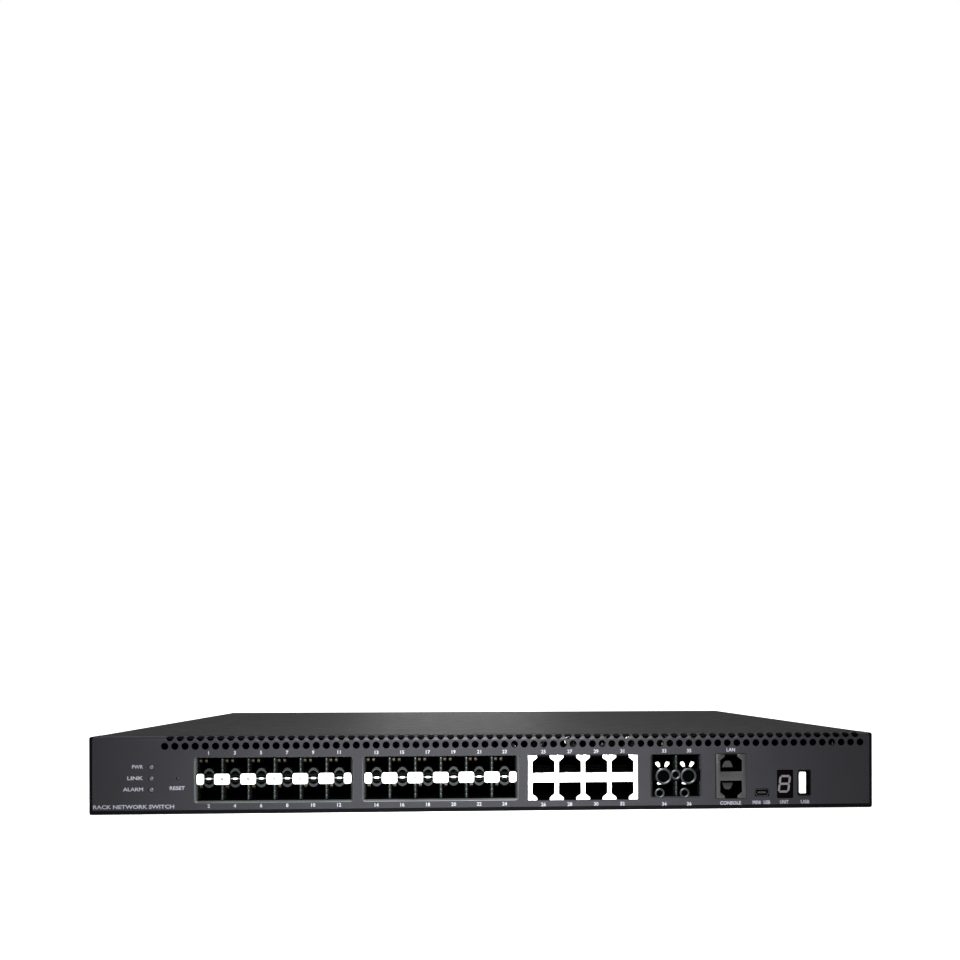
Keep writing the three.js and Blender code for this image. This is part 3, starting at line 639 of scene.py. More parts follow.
def top_cover():
    """A folded U of sheet: the top and both sides, with the rack ear holes and screw holes."""
    flat = HALF_WIDTH - COVER_BEND
    bend = COVER_BEND * math.pi / 2
    reach = flat + bend + HEIGHT - COVER_BEND - COVER_SKIRT

    def place(u, y):
        side = 1 if u > 0 else -1
        beyond = abs(u) - flat
        if beyond <= 0:
            return (u, y, HEIGHT)
        turn = min(beyond / COVER_BEND, math.pi / 2)
        x = flat + COVER_BEND * math.sin(turn)
        z = HEIGHT - COVER_BEND * (1 - math.cos(turn)) - max(0, beyond - bend)
        return (side * x, y, z)

    def on_side(side, y, z, radius):
        return circle(side * (flat + bend + HEIGHT - COVER_BEND - z), y, radius, 32)

    folds = [flat + bend * k / 6 for k in range(7)]
    across = [-reach, *[-u for u in reversed(folds)], *folds, reach]
    outline = [(u, BODY_FRONT) for u in across] + [(u, DEPTH) for u in reversed(across)]
    lines = [((side * u, BODY_FRONT), (side * u, DEPTH)) for u in folds for side in (-1, 1)]
    holes = []
    for side in (-1, 1):
        holes += [on_side(side, y, z, EAR_HOLE) for y, z in EAR_HOLES]
        holes += [on_side(side, y, SCREW_Z, COVER_SCREW_HOLE) for y in SCREW_DEPTHS]
    points, faces = flat_with_holes(outline, holes, lines)
    bm = bmesh.new()
    add_surface(bm, points, faces, place)
    bmesh.ops.recalc_face_normals(bm, faces=bm.faces)
    bm.normal_update()
    if max(bm.faces, key=lambda f: f.calc_area()).normal.z < 0:
        bmesh.ops.reverse_faces(bm, faces=bm.faces)
    piece = finish_mesh("top_cover_sheet", bm, COVER_PAINT, "cover_paint", replaces=["top_cover"], smooth=50)
    thicken(piece, COVER_SHEET, 0.1)


# ---------------------------------------------------------------- module cages

MID_LOW = 16.2
MID_HIGH = 22.3
CAGE_FRONT = 1.8
PLATE_HALF = 4.25
SPRING_SHEET = 0.25
CONTACT_ROWS = (12.7, 27.7)
CONTACT_PITCH = 0.8
# PAINTED_SHADE and VOID_SHADE are near-black painted shade: on steel strips in shade and on the tunnel walls.
STEEL, PAINTED_SHADE, BRIGHT, COPPER, VOID_SHADE, RIVET = range(6)
CAGE_MATERIALS = [CAGE_STEEL, CAGE_SHADE, NICKEL, SPRING_COPPER, SHADE_BLACK, RIVET_STEEL]


def add_strip(bm, path, thickness, x0, x1, slot_index=0):
    """A bent sheet strip: a centre line of (y, z) points given a thickness and swept along x."""
    left, right = [], []
    for i, (y, z) in enumerate(path):
        before = Vector(path[max(i - 1, 0)])
        after = Vector(path[min(i + 1, len(path) - 1)])
        along = (after - before).normalized()
        off = Vector((-along.y, along.x)) * thickness / 2
        left.append((y + off.x, z + off.y))
        right.append((y - off.x, z - off.y))
    add_prism(bm, "x", left + right[::-1], x0, x1, slot_index=slot_index)


def add_fingers(bm, x, z0, z1, outline):
    """A row of three spring fingers standing one above the other on a divider."""
    pitch = (z1 - z0) / 3
    for k in range(3):
        shape = [(x + u, y) for u, y in outline]
        add_prism(bm, "z", shape, z0 + k * pitch + 0.15, z0 + (k + 1) * pitch - 0.15, slot_index=STEEL)


FINGER = [(-0.35, 7.5), (-0.85, 5.2), (-1.05, 3.0), (-0.85, 1.6), (-0.35, 0.7), (0.35, 0.7), (0.85, 1.6),
          (1.05, 3.0), (0.85, 5.2), (0.35, 7.5)]
HALF_FINGER = [(0, 0.9), (0.45, 1.3), (0.8, 3.0), (0.6, 5.2), (0.1, 7.5), (0, 7.5)]


def add_cage_body(bm, node):
    """The tunnels and the channel between the rows. Returns the places of ports, dividers and side walls."""
    columns = CAGES[node]
    low, high = node_box(node)
    ports = spread(face_middle(node)[0], columns, PORT_PITCH)
    half = (PORT_PITCH - CAGE_DIVIDER) / 2
    floor, roof = low.z + CAGE_WALL, high.z - CAGE_WALL
    holes = []
    for x in ports:
        holes.append(rounded_rectangle(x - half, x + half, floor, MID_LOW, 0.25, 2))
        holes.append(rounded_rectangle(x - half, x + half, MID_HIGH, roof, 0.25, 2))
    outline = rounded_rectangle(low.x, high.x, low.z, high.z, 0.4, 2)
    # The tunnel walls and the channel block are the near-black painted shade.
    add_prism(bm, "y", outline, CAGE_FRONT, high.y, holes, VOID_SHADE)
    add_box(bm, low.x + 1, high.x - 1, 0.95, CAGE_FRONT + 0.4, MID_LOW + 0.3, MID_HIGH - 0.3, VOID_SHADE)
    dividers = [x + PORT_PITCH / 2 for x in ports[:-1]]
    ends = [(low.x + CAGE_DIVIDER, 1), (high.x - CAGE_DIVIDER, -1)]
    for z0, z1 in ((floor + 0.4, MID_LOW), (MID_HIGH, roof - 0.4)):
        for x in dividers:
            add_fingers(bm, x, z0, z1, FINGER)
        for x, side in ends:
            add_fingers(bm, x, z0, z1, [(side * u, y) for u, y in HALF_FINGER])
    return ports, dividers, ends


def add_plate(bm, x0, x1, pinned):
    """A bright face plate between two ports, with a riveted dimple."""
    z0, z1 = MID_LOW + 0.15, MID_HIGH + 0.1
    middle = (x0 + x1) / 2
    holes = [circle(middle, (z0 + z1) / 2, 0.85, 20)] if pinned else []
    add_prism(bm, "y", rounded_rectangle(x0, x1, z0, z1, 1.3, 5), 0.15, 0.85, holes, BRIGHT)
    if pinned:
        add_rod(bm, "y", (middle, 0.45, (z0 + z1) / 2), 0.84, 0.3, 20, slot_index=RIVET)


def add_arch(bm, x, end, peak, thickness, depth, slot_index):
    """A tab bowed up or down between its two ends, cut from sheet."""
    half = 2.7
    steps = [half * (k / 5 - 1) for k in range(11)]
    bow = [end + (peak - end) * (1 - (u / half) ** 2) for u in steps]
    outline = [(x + u, z + thickness / 2) for u, z in zip(steps, bow)]
    outline += [(x + u, z - thickness / 2) for u, z in reversed(list(zip(steps, bow)))]
    add_prism(bm, "y", outline, depth, depth + 0.6, slot_index=slot_index)


def add_latches(bm, x):
    """The latch tongues of a pair of ports, which face each other across the channel, and the bar between."""
    middle = (MID_LOW + MID_HIGH) / 2 + 0.35
    for side, ends, peak in ((1, 2.9, 5.0), (-1, 2.5, 4.2)):
        add_arch(bm, x, middle + side * ends, middle + side * peak, 1.5, 0.7, STEEL)
        path = [(1.0, middle + side * peak), (4.2, middle + side * (peak + 0.5)), (8.0, middle + side * peak)]
        # The strips behind the tongues and the inner arches are near-black painted shade.
        add_strip(bm, path, 0.32, x - 2.0, x + 2.0, PAINTED_SHADE)
        add_arch(bm, x, middle + side * 1.2, middle + side * 1.7, 0.5, 0.75, PAINTED_SHADE)
    add_box(bm, x - 2.95, x + 2.95, 0.55, 0.9, middle - 0.28, middle + 0.28, RIVET)
    add_prism(bm, "y", rounded_rectangle(x - 1.3, x + 1.3, middle - 0.5, middle + 0.5, 0.45, 4), 0.4, 1.0,
              slot_index=BRIGHT)


def add_copper_springs(bm, x, roof):
    """Grounding springs: one under the ceiling of the lower port and two under the roof of the upper port."""
    left = x - PORT_PITCH / 2
    hook = [(1.3, MID_LOW), (1.1, 15.2), (1.9, 14.2), (3.6, 14.6)]
    leg = [(2.6, roof), (2.4, roof - 1.2)]
    tip = [(2.4, roof - 1.2), (2.2, roof - 2.2), (3.0, roof - 3.0), (5.0, roof - 2.6)]
    add_strip(bm, hook, SPRING_SHEET, left + 2.0, left + 3.6, COPPER)
    for place in (left + 1.5, x - 2.6):
        # The legs under the roof are near-black painted shade; the curled tips are copper.
        add_strip(bm, leg, SPRING_SHEET, place + 0.3, place + 1.1, PAINTED_SHADE)
        add_strip(bm, tip, SPRING_SHEET, place, place + 1.4, COPPER)


def module_cage(node):
    bm = bmesh.new()
    ports, dividers, ends = add_cage_body(bm, node)
    roof = node_box(node)[1].z - CAGE_WALL
    for x in ports:
        add_latches(bm, x)
        add_copper_springs(bm, x, roof)
    for x in dividers:
        add_plate(bm, x - PLATE_HALF, x + PLATE_HALF, True)
    for x, side in ends:
        add_plate(bm, *sorted((x + side * 0.15, x + side * PLATE_HALF)), False)
    bevel(bm, 0.07, 1, 50)
    replace_node(node, bm, CAGE_MATERIALS, "cage_steel")


def uplink_cage(node):
    """The four uplink bays: splayed latch springs and round pressed-in stops."""
    bm = bmesh.new()
    ports, dividers, _ = add_cage_body(bm, node)
    middle = (MID_LOW + MID_HIGH) / 2
    for x in ports:
        for side in (-1, 1):
            foot, head = x + side * 1.2 - 0.3, x + side * 3.6 - 0.3
            outline = [(foot, 24.0), (foot + side * 1.3, 23.8), (head + side * 0.5, 25.6),
                       (head + side * 0.3, 26.7), (head - side * 1.3, 27.0), (head - side * 2.1, 26.0)]
            add_prism(bm, "y", outline, 3.0, 3.4, slot_index=BRIGHT)
            leg = [(3.2, 24.0), (3.4, 23.2), (4.0, MID_HIGH)]
            add_strip(bm, leg, 0.3, *sorted((foot, foot + side)), STEEL)
        add_ring(bm, (x - 0.2, 0.9, middle - 0.3), 4.0, 0.75, 40, 8)
        add_ring(bm, (x - 2.4, 1.0, 9.4), 2.3, 0.65, 36, 8)
        stop = rounded_rectangle(x - 4.0, x - 1.3, 14.4, 15.5, 0.5, 4)
        add_prism(bm, "y", stop, 0.6, 1.0, slot_index=BRIGHT)
    for x in dividers:
        add_ring(bm, (x - 0.4, 0.7, middle + 0.6), 2.3, 0.7, 40, 8)
    bevel(bm, 0.06, 1, 60)
    replace_node(node, bm, CAGE_MATERIALS, "cage_steel")


def module_contacts():
    """Gold contact rows in the slots of the connectors behind the cages."""
    bm = bmesh.new()
    for node, columns in CAGES.items():
        back = node_box(node)[1].y
        for x in spread(face_middle(node)[0], columns, PORT_PITCH):
            for z in CONTACT_ROWS:
                for k in range(10):
                    u = x + (k - 4.5) * CONTACT_PITCH
                    for edge in (z - 0.6, z + 0.6):
                        add_box(bm, u - 0.2, u + 0.2, back + 0.5, back + 5, edge - 0.08, edge + 0.08)
    finish_mesh("module_contacts", bm, GOLD, "brass_contact")


# ---------------------------------------------------------------- modular jacks

JACK_PITCH = 14.9
JACK_FLOORS = ((21.4, 1), (16.25, -1))
JACK_PROFILE = [(6.25, 0), (6.25, 6.5), (4.4, 7.9), (3.6, 8.6), (3.6, 10.2)]
JACK_SHEET = 0.5
JACK_CONTACT_PITCH = 1.02


def jack_face(x, left, right, bottom, top):
    """The outline of one column's face: an H whose gaps are the upper and the lower mouth."""
    upper, lower = JACK_FLOORS
    above = [(x + u, min(upper[0] + v, top)) for u, v in JACK_PROFILE]
    below = [(x + u, max(lower[0] - v, bottom)) for u, v in JACK_PROFILE]

    def mirrored(points):
        return [(2 * x - u, v) for u, v in points]

    return ([(left, bottom)] + mirrored(below)[::-1] + below + [(right, bottom), (right, top)]
            + above[::-1] + mirrored(above) + [(left, top)])


def jack_shield(node, columns, material, slot):
    """Folded face plates, one per column so that the seams show, in front of the can's walls."""
    low, high = node_box(node)
    bm = bmesh.new()
    seam = 0.05
    for i, x in enumerate(spread(face_middle(node)[0], columns, JACK_PITCH)):
        left = low.x if i == 0 else x - JACK_PITCH / 2 + seam
        right = high.x if i == columns - 1 else x + JACK_PITCH / 2 - seam
        outline = jack_face(x, left, right, low.z, high.z)
        add_prism(bm, "y", outline, low.y, low.y + JACK_SHEET)
    bevel(bm, 0.1, 2, 50)
    back = low.y + JACK_SHEET
    # The can's top and side walls behind the face take slot 1, the steel darkened as painted shade.
    add_box(bm, low.x, high.x, back, high.y, high.z - JACK_SHEET, high.z - seam, 1)
    for x in (low.x, high.x - JACK_SHEET):
        add_box(bm, x, x + JACK_SHEET, back, high.y, low.z + 1, high.z - JACK_SHEET, 1)
    replace_node(node, bm, [material, CAGE_SHADE], slot)


def jack_housing(node, columns, carriers=False):
    """The moulded body with its mouths, eight spring contacts in each, and pale contact carriers if asked."""
    low, high = node_box(node)
    back = high.y - 2.5
    bm = bmesh.new()
    places = spread(face_middle(node)[0], columns, JACK_PITCH)
    wall = 0.4
    mouths = []
    for x in places:
        for z, direction in JACK_FLOORS:
            reach = (high.z - wall - z) if direction > 0 else (z - low.z - wall)
            half = [(u, direction * min(v, reach)) for u, v in JACK_PROFILE]
            mouths.append([(x + u, z + v) for u, v in half] + [(x - u, z + v) for u, v in reversed(half)])
    outline = rounded_rectangle(low.x, high.x, low.z, high.z, 0.2, 2)
    # The body round the mouths is the near-black painted shade.
    add_prism(bm, "y", outline, low.y, back, mouths)
    add_prism(bm, "y", outline, back, high.y)
    for x in places:
        for z, direction in JACK_FLOORS:
            bottom = z + direction * 0.05
            top = z + direction * 4.6
            carrier = [(back, bottom), (9.5, bottom), (9.5, z + direction * 0.8), (11.5, top), (back, top)]
            add_prism(bm, "x", carrier, x - 5.2, x + 5.2)
            # The spring contacts take slot 1, the gold darkened as painted shade.
            for k in range(8):
                u = x + (k - 3.5) * JACK_CONTACT_PITCH
                path = [(7.6, z + direction * 3.1), (9.2, z + direction * 2.1), (10.6, z + direction * 3.5),
                        (11.7, z + direction * 4.75)]
                add_strip(bm, path, 0.3, u - 0.2, u + 0.2, 1)
            if carriers:
                inner, outer = z + direction * 1.9, z + direction * 5.6
                face = [(x - 3.4, inner), (x + 2.8, inner), (x + 1.9, outer - direction), (x + 0.9, outer),
                        (x - 1.3, outer), (x - 2.4, outer - direction)]
                # The upper carriers take port steel, the lower ones a darker copy of it as painted shade.
                add_prism(bm, "y", face, 5.0, 5.5, slot_index=2 if direction > 0 else 3)
    replace_node(node, bm, [SHADE_BLACK, SHADED_GOLD, PORT_STEEL, SHADOW_STEEL], "black_plastic")


# ---------------------------------------------------------------- small front ports


SHELL_SHEET = 0.35
USB_SHELL_HEIGHT = 14.2
USB_CONTACT_PITCH = 2.4
MINI_USB_HEIGHT = 4
MINI_USB_CONTACT_PITCH = 0.8


def usb_port():
    """The shell with its rolled rim and side springs, and the tongue with four contacts."""
    low, high = node_box("usb_port_shell")
    tongue_low, tongue_high = node_box("usb_port_tongue")
    z0, z1 = high.z - USB_SHELL_HEIGHT, high.z
    bm = bmesh.new()
    outer = rounded_rectangle(low.x, high.x, z0, z1, 0.7, 4)
    inner = rounded_rectangle(low.x + SHELL_SHEET, high.x - SHELL_SHEET, z0 + SHELL_SHEET, z1 - SHELL_SHEET,
                              0.5, 4)
    add_prism(bm, "y", outer, low.y, high.y - 0.5, [inner])
    add_prism(bm, "y", outer, high.y - 0.5, high.y)
    bevel(bm, 0.08, 2, 50)
    for z in (z0 + 4, z1 - 4):
        add_leaf_spring(bm, high.x - SHELL_SHEET, -0.7, z - 1.2, z + 1.2)
    # The shell is nickel in the CAD slot but takes the near-black painted shade.
    finish_mesh("usb_shell_detail", bm, CAGE_SHADE, "nickel", replaces=["usb_port_shell"])

    bm = bmesh.new()
    outline = rounded_rectangle(tongue_low.x, tongue_high.x, tongue_low.z, tongue_high.z, 0.35, 3)
    add_prism(bm, "y", outline, tongue_low.y - 0.6, high.y - 0.6)
    bevel(bm, 0.15, 2, 50)
    for k in range(4):
        z = (tongue_low.z + tongue_high.z) / 2 + (k - 1.5) * USB_CONTACT_PITCH
        add_box(bm, tongue_high.x - 0.03, tongue_high.x + 0.05, tongue_low.y + 0.6, high.y - 2,
                z - 0.5, z + 0.5, 1)
    finish_mesh("usb_tongue_detail", bm, [WHITE_PLASTIC, GOLD], "white_plastic", replaces=["usb_port_tongue"])


def add_leaf_spring(bm, x, bulge, z0, z1):
    """A leaf spring that bulges into the port from one side."""
    outline = [(x, 1.5), (x + bulge, 4.0), (x + bulge, 5.5), (x, 8.0), (x - bulge * 0.3, 8.0),
               (x + bulge * 0.6, 5.5), (x + bulge * 0.6, 4.0), (x - bulge * 0.3, 1.5)]
    add_prism(bm, "z", outline, z0, z1)


def mini_usb_port():
    low, high = node_box("mini_usb_port")
    x, z1 = face_middle("mini_usb_port")[0], high.z
    half, z0 = high.x - x, high.z - MINI_USB_HEIGHT

    def outline(inset):
        u, v = half - inset, z0 + inset
        return [(x - u, z1 - inset), (x - u, v + 1.4), (x - u + 1.0, v), (x + u - 1.0, v), (x + u, v + 1.4),
                (x + u, z1 - inset)]

    bm = bmesh.new()
    # The shell and tongue take slot 0, the steel darkened as painted shade; the contacts take the darkened
    # gold.
    add_prism(bm, "y", outline(0), low.y, high.y - 1, [outline(SHELL_SHEET)])
    add_prism(bm, "y", outline(0), high.y - 1, high.y)
    bevel(bm, 0.07, 2, 40)
    add_prism(bm, "y", rounded_rectangle(x - 2.4, x + 2.4, z1 - 2.6, z1 - 1.5, 0.2, 2), 0.5, high.y - 1)
    for k in range(5):
        u = x + (k - 2) * MINI_USB_CONTACT_PITCH
        add_box(bm, u - 0.18, u + 0.18, 1.2, 6, z1 - 2.56, z1 - 2.48, 2)
    finish_mesh("mini_usb_detail", bm, [SHADOW_STEEL, SHADE_BLACK, SHADED_GOLD], "cage_steel",
                replaces=["mini_usb_port"])


DISPLAY_HALF = (4.4, 7.8)
DISPLAY_Z = 14.1
DIGIT_HALF = (2.75, 4.4)
DIGIT_BAR = 0.62
DIGIT_SLANT = 0.13


def bar_outline(half):
    """An upright segment with pointed ends."""
    shoulder, point = half - DIGIT_BAR, half - 0.15
    return [(-DIGIT_BAR, -shoulder), (0, -point), (DIGIT_BAR, -shoulder),
            (DIGIT_BAR, shoulder), (0, point), (-DIGIT_BAR, shoulder)]


def digit_display():
    """A seven-segment digit behind a dark face."""
    low, high = node_box("digit_display")
    x = face_middle("digit_display")[0]
    bm = bmesh.new()
    add_prism(bm, "y", display_outline(0, 0.5), low.y + 0.3, 3)
    add_prism(bm, "y", rounded_rectangle(low.x, high.x, low.z, high.z, 0.3, 2), 3, high.y)
    bevel(bm, 0.12, 2, 50)
    half_x, half_z = DIGIT_HALF
    upright = bar_outline(half_z / 2)
    level = [(b, a) for a, b in bar_outline(half_x)]
    bars = [(upright, sx * half_x, sz * half_z / 2) for sx in (-1, 1) for sz in (-1, 1)]
    bars += [(level, 0, z) for z in (-half_z, 0, half_z)]
    for shape, u, v in bars:
        outline = [(x + (a + u) + DIGIT_SLANT * (b + v) - 0.2, DISPLAY_Z + b + v) for a, b in shape]
        add_prism(bm, "y", outline, low.y + 0.24, low.y + 0.5, slot_index=1)
    replace_node("digit_display", bm, [DISPLAY_FACE, DISPLAY_SEGMENT], "display_face")


def status_lights():
    """Three domed ends of the light guide, behind the face."""
    low, high = node_box("status_light_pipe")
    x = face_middle("status_light_pipe")[0]
    bm = bmesh.new()
    for z in LIGHT_HEIGHTS:
        rings = [circle(x, z, 1.25 * math.cos(t), 24) for t in (0, 0.5, 0.95, 1.3)]
        depths = [0.35, 0.18, 0.06, 0.02]
        points = [[(u, y, v) for u, v in ring] for ring, y in zip([rings[0], *rings], [6, *depths])]
        stitch(bm, points, capped=True)
    add_box(bm, x - 2, x + 2, 4, high.y, low.z, high.z)
    bmesh.ops.recalc_face_normals(bm, faces=bm.faces)
    finish_mesh("status_light_detail", bm, CLEAR_PLASTIC, "clear_plastic", replaces=["status_light_pipe"])


# ---------------------------------------------------------------- panel lettering: generic words and numbers

# Each numbered block: its columns, and how high its upper and lower numbers stand.
NUMBERED = (("module_cage_left", 6, 33.9, 4.7), ("module_cage_right", 6, 33.6, 4.4),
            ("jack_block_shield", 4, 33.4, 3.8), ("uplink_cage", 2, 33.4, 3.4))
INK_DEPTH = 0.02
CAP = 1.9


def add_label(bm, text, x, z, width=None, align="CENTER", cap=CAP):
    """Printed lettering on the face, as thin solid letters, scaled to a width where one is given."""
    curve = bpy.data.curves.new("lettering", "FONT")
    curve.body = text
    curve.size = cap / 0.69
    curve.extrude = INK_DEPTH
    curve.offset = 0.07
    curve.resolution_u = 2
    thing = add_object("lettering", curve)
    bpy.context.view_layer.update()
    mesh = bpy.data.meshes.new_from_object(thing.evaluated_get(bpy.context.evaluated_depsgraph_get()))
    across = [v.co.x for v in mesh.vertices]
    up = [v.co.y for v in mesh.vertices]
    span = max(across) - min(across)
    stretch = width / span if width else 1
    anchor = {"LEFT": min(across), "CENTER": (min(across) + max(across)) / 2, "RIGHT": max(across)}[align]
    middle = (min(up) + max(up)) / 2
    for v in mesh.vertices:
        v.co = (x + (v.co.x - anchor) * stretch, v.co.z - INK_DEPTH * 0.6, z + v.co.y - middle)
    bm.from_mesh(mesh)
    bpy.data.objects.remove(thing)
    bpy.data.curves.remove(curve)
    bpy.data.meshes.remove(mesh)


def lettering():
    bm = bmesh.new()
    light_x = node_middle("status_light_pipe").x
    for text, z, width in (("PWR", LIGHT_HEIGHTS[2], 6.0), ("LINK", LIGHT_HEIGHTS[1], 8.6),
                           ("ALARM", LIGHT_HEIGHTS[0], 10.9)):
        add_label(bm, text, light_x - 4.3, z + 0.35, width, "RIGHT")
    add_label(bm, "RESET", -171.7, 14.7, 8.2)
    add_label(bm, "RACK NETWORK SWITCH", -217.0, 4.6, 43.6, "LEFT", 2.0)
    number = 1
    for node, columns, top, bottom in NUMBERED:
        pitch = JACK_PITCH if node == "jack_block_shield" else PORT_PITCH
        for x in spread(node_middle(node).x, columns, pitch):
            add_label(bm, str(number), x, top)
            add_label(bm, str(number + 1), x, bottom)
            number += 2
    console = node_middle("console_jack_shield").x
    add_label(bm, "LAN", console, 33.8, 4.9)
    add_label(bm, "CONSOLE", console - 0.2, 3.6, 12.0)
    add_label(bm, "MINI", 151.8, 3.8, 4.5)
    add_label(bm, "USB", 157.8, 3.8, 3.8)
    add_label(bm, "UNIT", node_middle("digit_display").x - 0.5, 3.9, 5.0)
    add_label(bm, "USB", node_middle("usb_port_shell").x + 0.5, 3.9, 5.0)
    finish_mesh("panel_lettering", bm, LABEL_INK, "white_plastic")


# ---------------------------------------------------------------- chassis, rear and fans

CHASSIS_SHEET = 1.2
FAN_Z = 21.6
FAN_OPENING = 18.6
FAN_BORE = 19.0
FAN_BARREL = 19.7
FAN_FLANGE = 3.0
FAN_HUB = 10.5
MOTOR_SEAT = 11.1
FAN_SHAFT = 1.2
SHAFT_BORE = 1.6
GUARD_RINGS = (6.5, 12.5, 18.5)
GUARD_WIRE_RADIUS = 0.6
GROUND_SHANK = 1.9
FAN_SCREW_REACH = 16
CORNERS = [(i, j) for i in (-1, 1) for j in (-1, 1)]
INLET_HALF = (13.6, 10)
INLET_BACK = 15
STUDS = [(x, y, 3.3) for x in (-190, -65, 65, 190) for y in (68, 155)]
STUDS += [(x, y, 6.0) for x in (-200, -70) for y in (185, 252)]


def base_chassis():
    """The folded tray: floor, sides, rear wall with its openings, standoffs and the lip behind the panel."""
    low, high = node_box("base_chassis")
    inlet, ground = node_middle("power_inlet"), node_middle("ground_screw")
    inlet_low, inlet_high = inlet.x - 14.1, inlet.x + 14.1
    wall_top = 38
    bm = bmesh.new()
    add_prism(bm, "z", rounded_rectangle(low.x, high.x, BODY_FRONT, DEPTH, 0.5, 2), 0, CHASSIS_SHEET)
    side_holes = [circle(y, z, EAR_HOLE, 24) for y, z in EAR_HOLES]
    side_holes += [circle(y, SCREW_Z, 1.9, 24) for y in SCREW_DEPTHS]
    side = [(BODY_FRONT, 0), (DEPTH, 0), (DEPTH, wall_top), (BODY_FRONT + 3, wall_top),
            (BODY_FRONT, wall_top - 3)]
    for x0, x1 in ((low.x, low.x + CHASSIS_SHEET), (high.x - CHASSIS_SHEET, high.x)):
        # The side walls take slot 1, the black cover paint, chosen as painted shade to keep the view through
        # the front vents dark.
        add_prism(bm, "x", side, x0, x1, side_holes, 1)
    rear = [(low.x, 0), (high.x, 0), (high.x, high.z - 2), (high.x - 2, high.z), (low.x + 2, high.z),
            (low.x, high.z - 2)]
    fans = [node_middle(f"fan_frame_{i}").x for i in (1, 2, 3)]
    holes = [circle(x, FAN_Z, FAN_OPENING, 72) for x in fans]
    for x in fans:
        holes += [circle(x + i * FAN_SCREW_REACH, FAN_Z + j * FAN_SCREW_REACH, 1.7, 16) for i, j in CORNERS]
    holes.append(rounded_rectangle(inlet_low, inlet_high, inlet.z - 10.3, inlet.z + 10.3, 1.0, 4))
    holes.append(circle(ground.x, ground.z, 2.3, 24))
    add_prism(bm, "y", rear, DEPTH - CHASSIS_SHEET, DEPTH, holes)
    reach, lip = high.x - 8, PANEL_SHEET + GAP
    add_box(bm, -reach, reach, 5, BODY_FRONT + 1, lip, lip + 1)
    add_box(bm, -reach, reach, BODY_FRONT, BODY_FRONT + 1, 0, lip + 1)
    for x, y, top in STUDS:
        add_rod(bm, "z", (x, y, CHASSIS_SHEET - 0.2), 3, top - CHASSIS_SHEET + 0.2, 6)
    bevel(bm, 0.15, 2, 60)
    replace_node("base_chassis", bm, [CHASSIS_STEEL, COVER_PAINT], "chassis_steel", smooth=30)


def fan_frame(index):
    node = f"fan_frame_{index}"
    low, high = node_box(node)
    x, z = face_middle(node)
    bm = bmesh.new()
    square = rounded_rectangle(low.x, high.x, low.z, high.z, 2.4, 5)
    screws = [circle(x + i * FAN_SCREW_REACH, z + j * FAN_SCREW_REACH, 1.75, 20) for i, j in CORNERS]
    duct = circle(x, z, FAN_BORE, 96)
    front, back = low.y + FAN_FLANGE, high.y - FAN_FLANGE
    add_prism(bm, "y", square, low.y, front, [duct, *screws])
    add_prism(bm, "y", square, back, high.y, [duct, *screws])
    add_prism(bm, "y", circle(x, z, FAN_BARREL, 96), front, back, [duct])
    bevel(bm, 0.3, 2, 60)
    add_prism(bm, "y", circle(x, z, MOTOR_SEAT, 64), high.y - 2.4, high.y)
    for k in range(3):
        angle = math.radians(-30 + 120 * k)
        out = Vector((math.cos(angle), math.sin(angle)))
        across = Vector((-out.y, out.x))
        inner, outer = FAN_HUB, FAN_BORE + 0.4
        ends = [out * inner - across * 1.3, out * outer - across * 0.9, out * outer + across * 0.9,
                out * inner + across * 1.3]
        add_prism(bm, "y", [(x + p.x, z + p.y) for p in ends], high.y - 2.2, high.y)
    add_prism(bm, "y", circle(x, z, 3.0, 24), high.y - 13, high.y - 2, [circle(x, z, SHAFT_BORE, 20)])
    add_prism(bm, "y", circle(x, z, 8.6, 48), high.y, high.y + 0.05, slot_index=1)
    replace_node(node, bm, [BLACK_PLASTIC, CHIP_BLACK], "black_plastic")


BLADES = 7
BLADE_TIP = 18.1


def blade_line(index, out, side, x, z, root, front, back):
    """One side of a blade's section at a part of the way out: a cambered aerofoil with a swept tip."""
    radius = root + (BLADE_TIP - root) * out
    middle, reach = (front + back) / 2, (back - front) / 2 - 0.5
    line = []
    for j in range(9):
        t = j / 4 - 1
        lean = 1 - t * t
        thick = side * (0.10 + 0.40 * (1 - abs(t) ** 3))
        angle = 2 * math.pi / BLADES * (index + 0.55 * t + 0.10 * lean + 0.16 * out) + thick / radius
        y = middle + reach * (t + 0.12 * lean)
        line.append((x + radius * math.cos(angle), y, z + radius * math.sin(angle)))
    return line


def fan_rotor(index):
    """A hub cup on its shaft, with seven twisted and curved blades."""
    node = f"fan_rotor_{index}"
    low, high = node_box(node)
    x, z = face_middle(node)[0], FAN_Z
    front, back = low.y, high.y
    bm = bmesh.new()
    hub = FAN_HUB
    wall = [(0, front), (hub - 1.2, front), (hub - 0.3, front + 0.35), (hub, front + 1.2), (hub, back),
            (hub - 1.6, back), (hub - 1.6, front + 2), (0, front + 2)]
    stitch(bm, [[(x + r * math.cos(a), y, z + r * math.sin(a)) for r, y in wall[1:-1]]
                for a in (2 * math.pi * k / 64 for k in range(65))], closed=False)
    bmesh.ops.remove_doubles(bm, verts=bm.verts, dist=1e-3)
    bmesh.ops.holes_fill(bm, edges=[e for e in bm.edges if len(e.link_faces) == 1], sides=80)
    add_rod(bm, "y", (x, front + 1.5, z), FAN_SHAFT, back - front - 1.5, 20)
    for k in range(BLADES):
        sheets = [[blade_line(k, i / 7, side, x, z, hub - 0.5, front, back) for i in range(8)]
                  for side in (-1, 1)]
        made = stitch(bm, [one + two[::-1] for one, two in zip(*sheets)])
        bm.faces.new(made[0])
        bm.faces.new(list(reversed(made[-1])))
    bmesh.ops.recalc_face_normals(bm, faces=bm.faces)
    replace_node(node, bm, CHIP_BLACK, "chip_black", body=node, smooth=40)


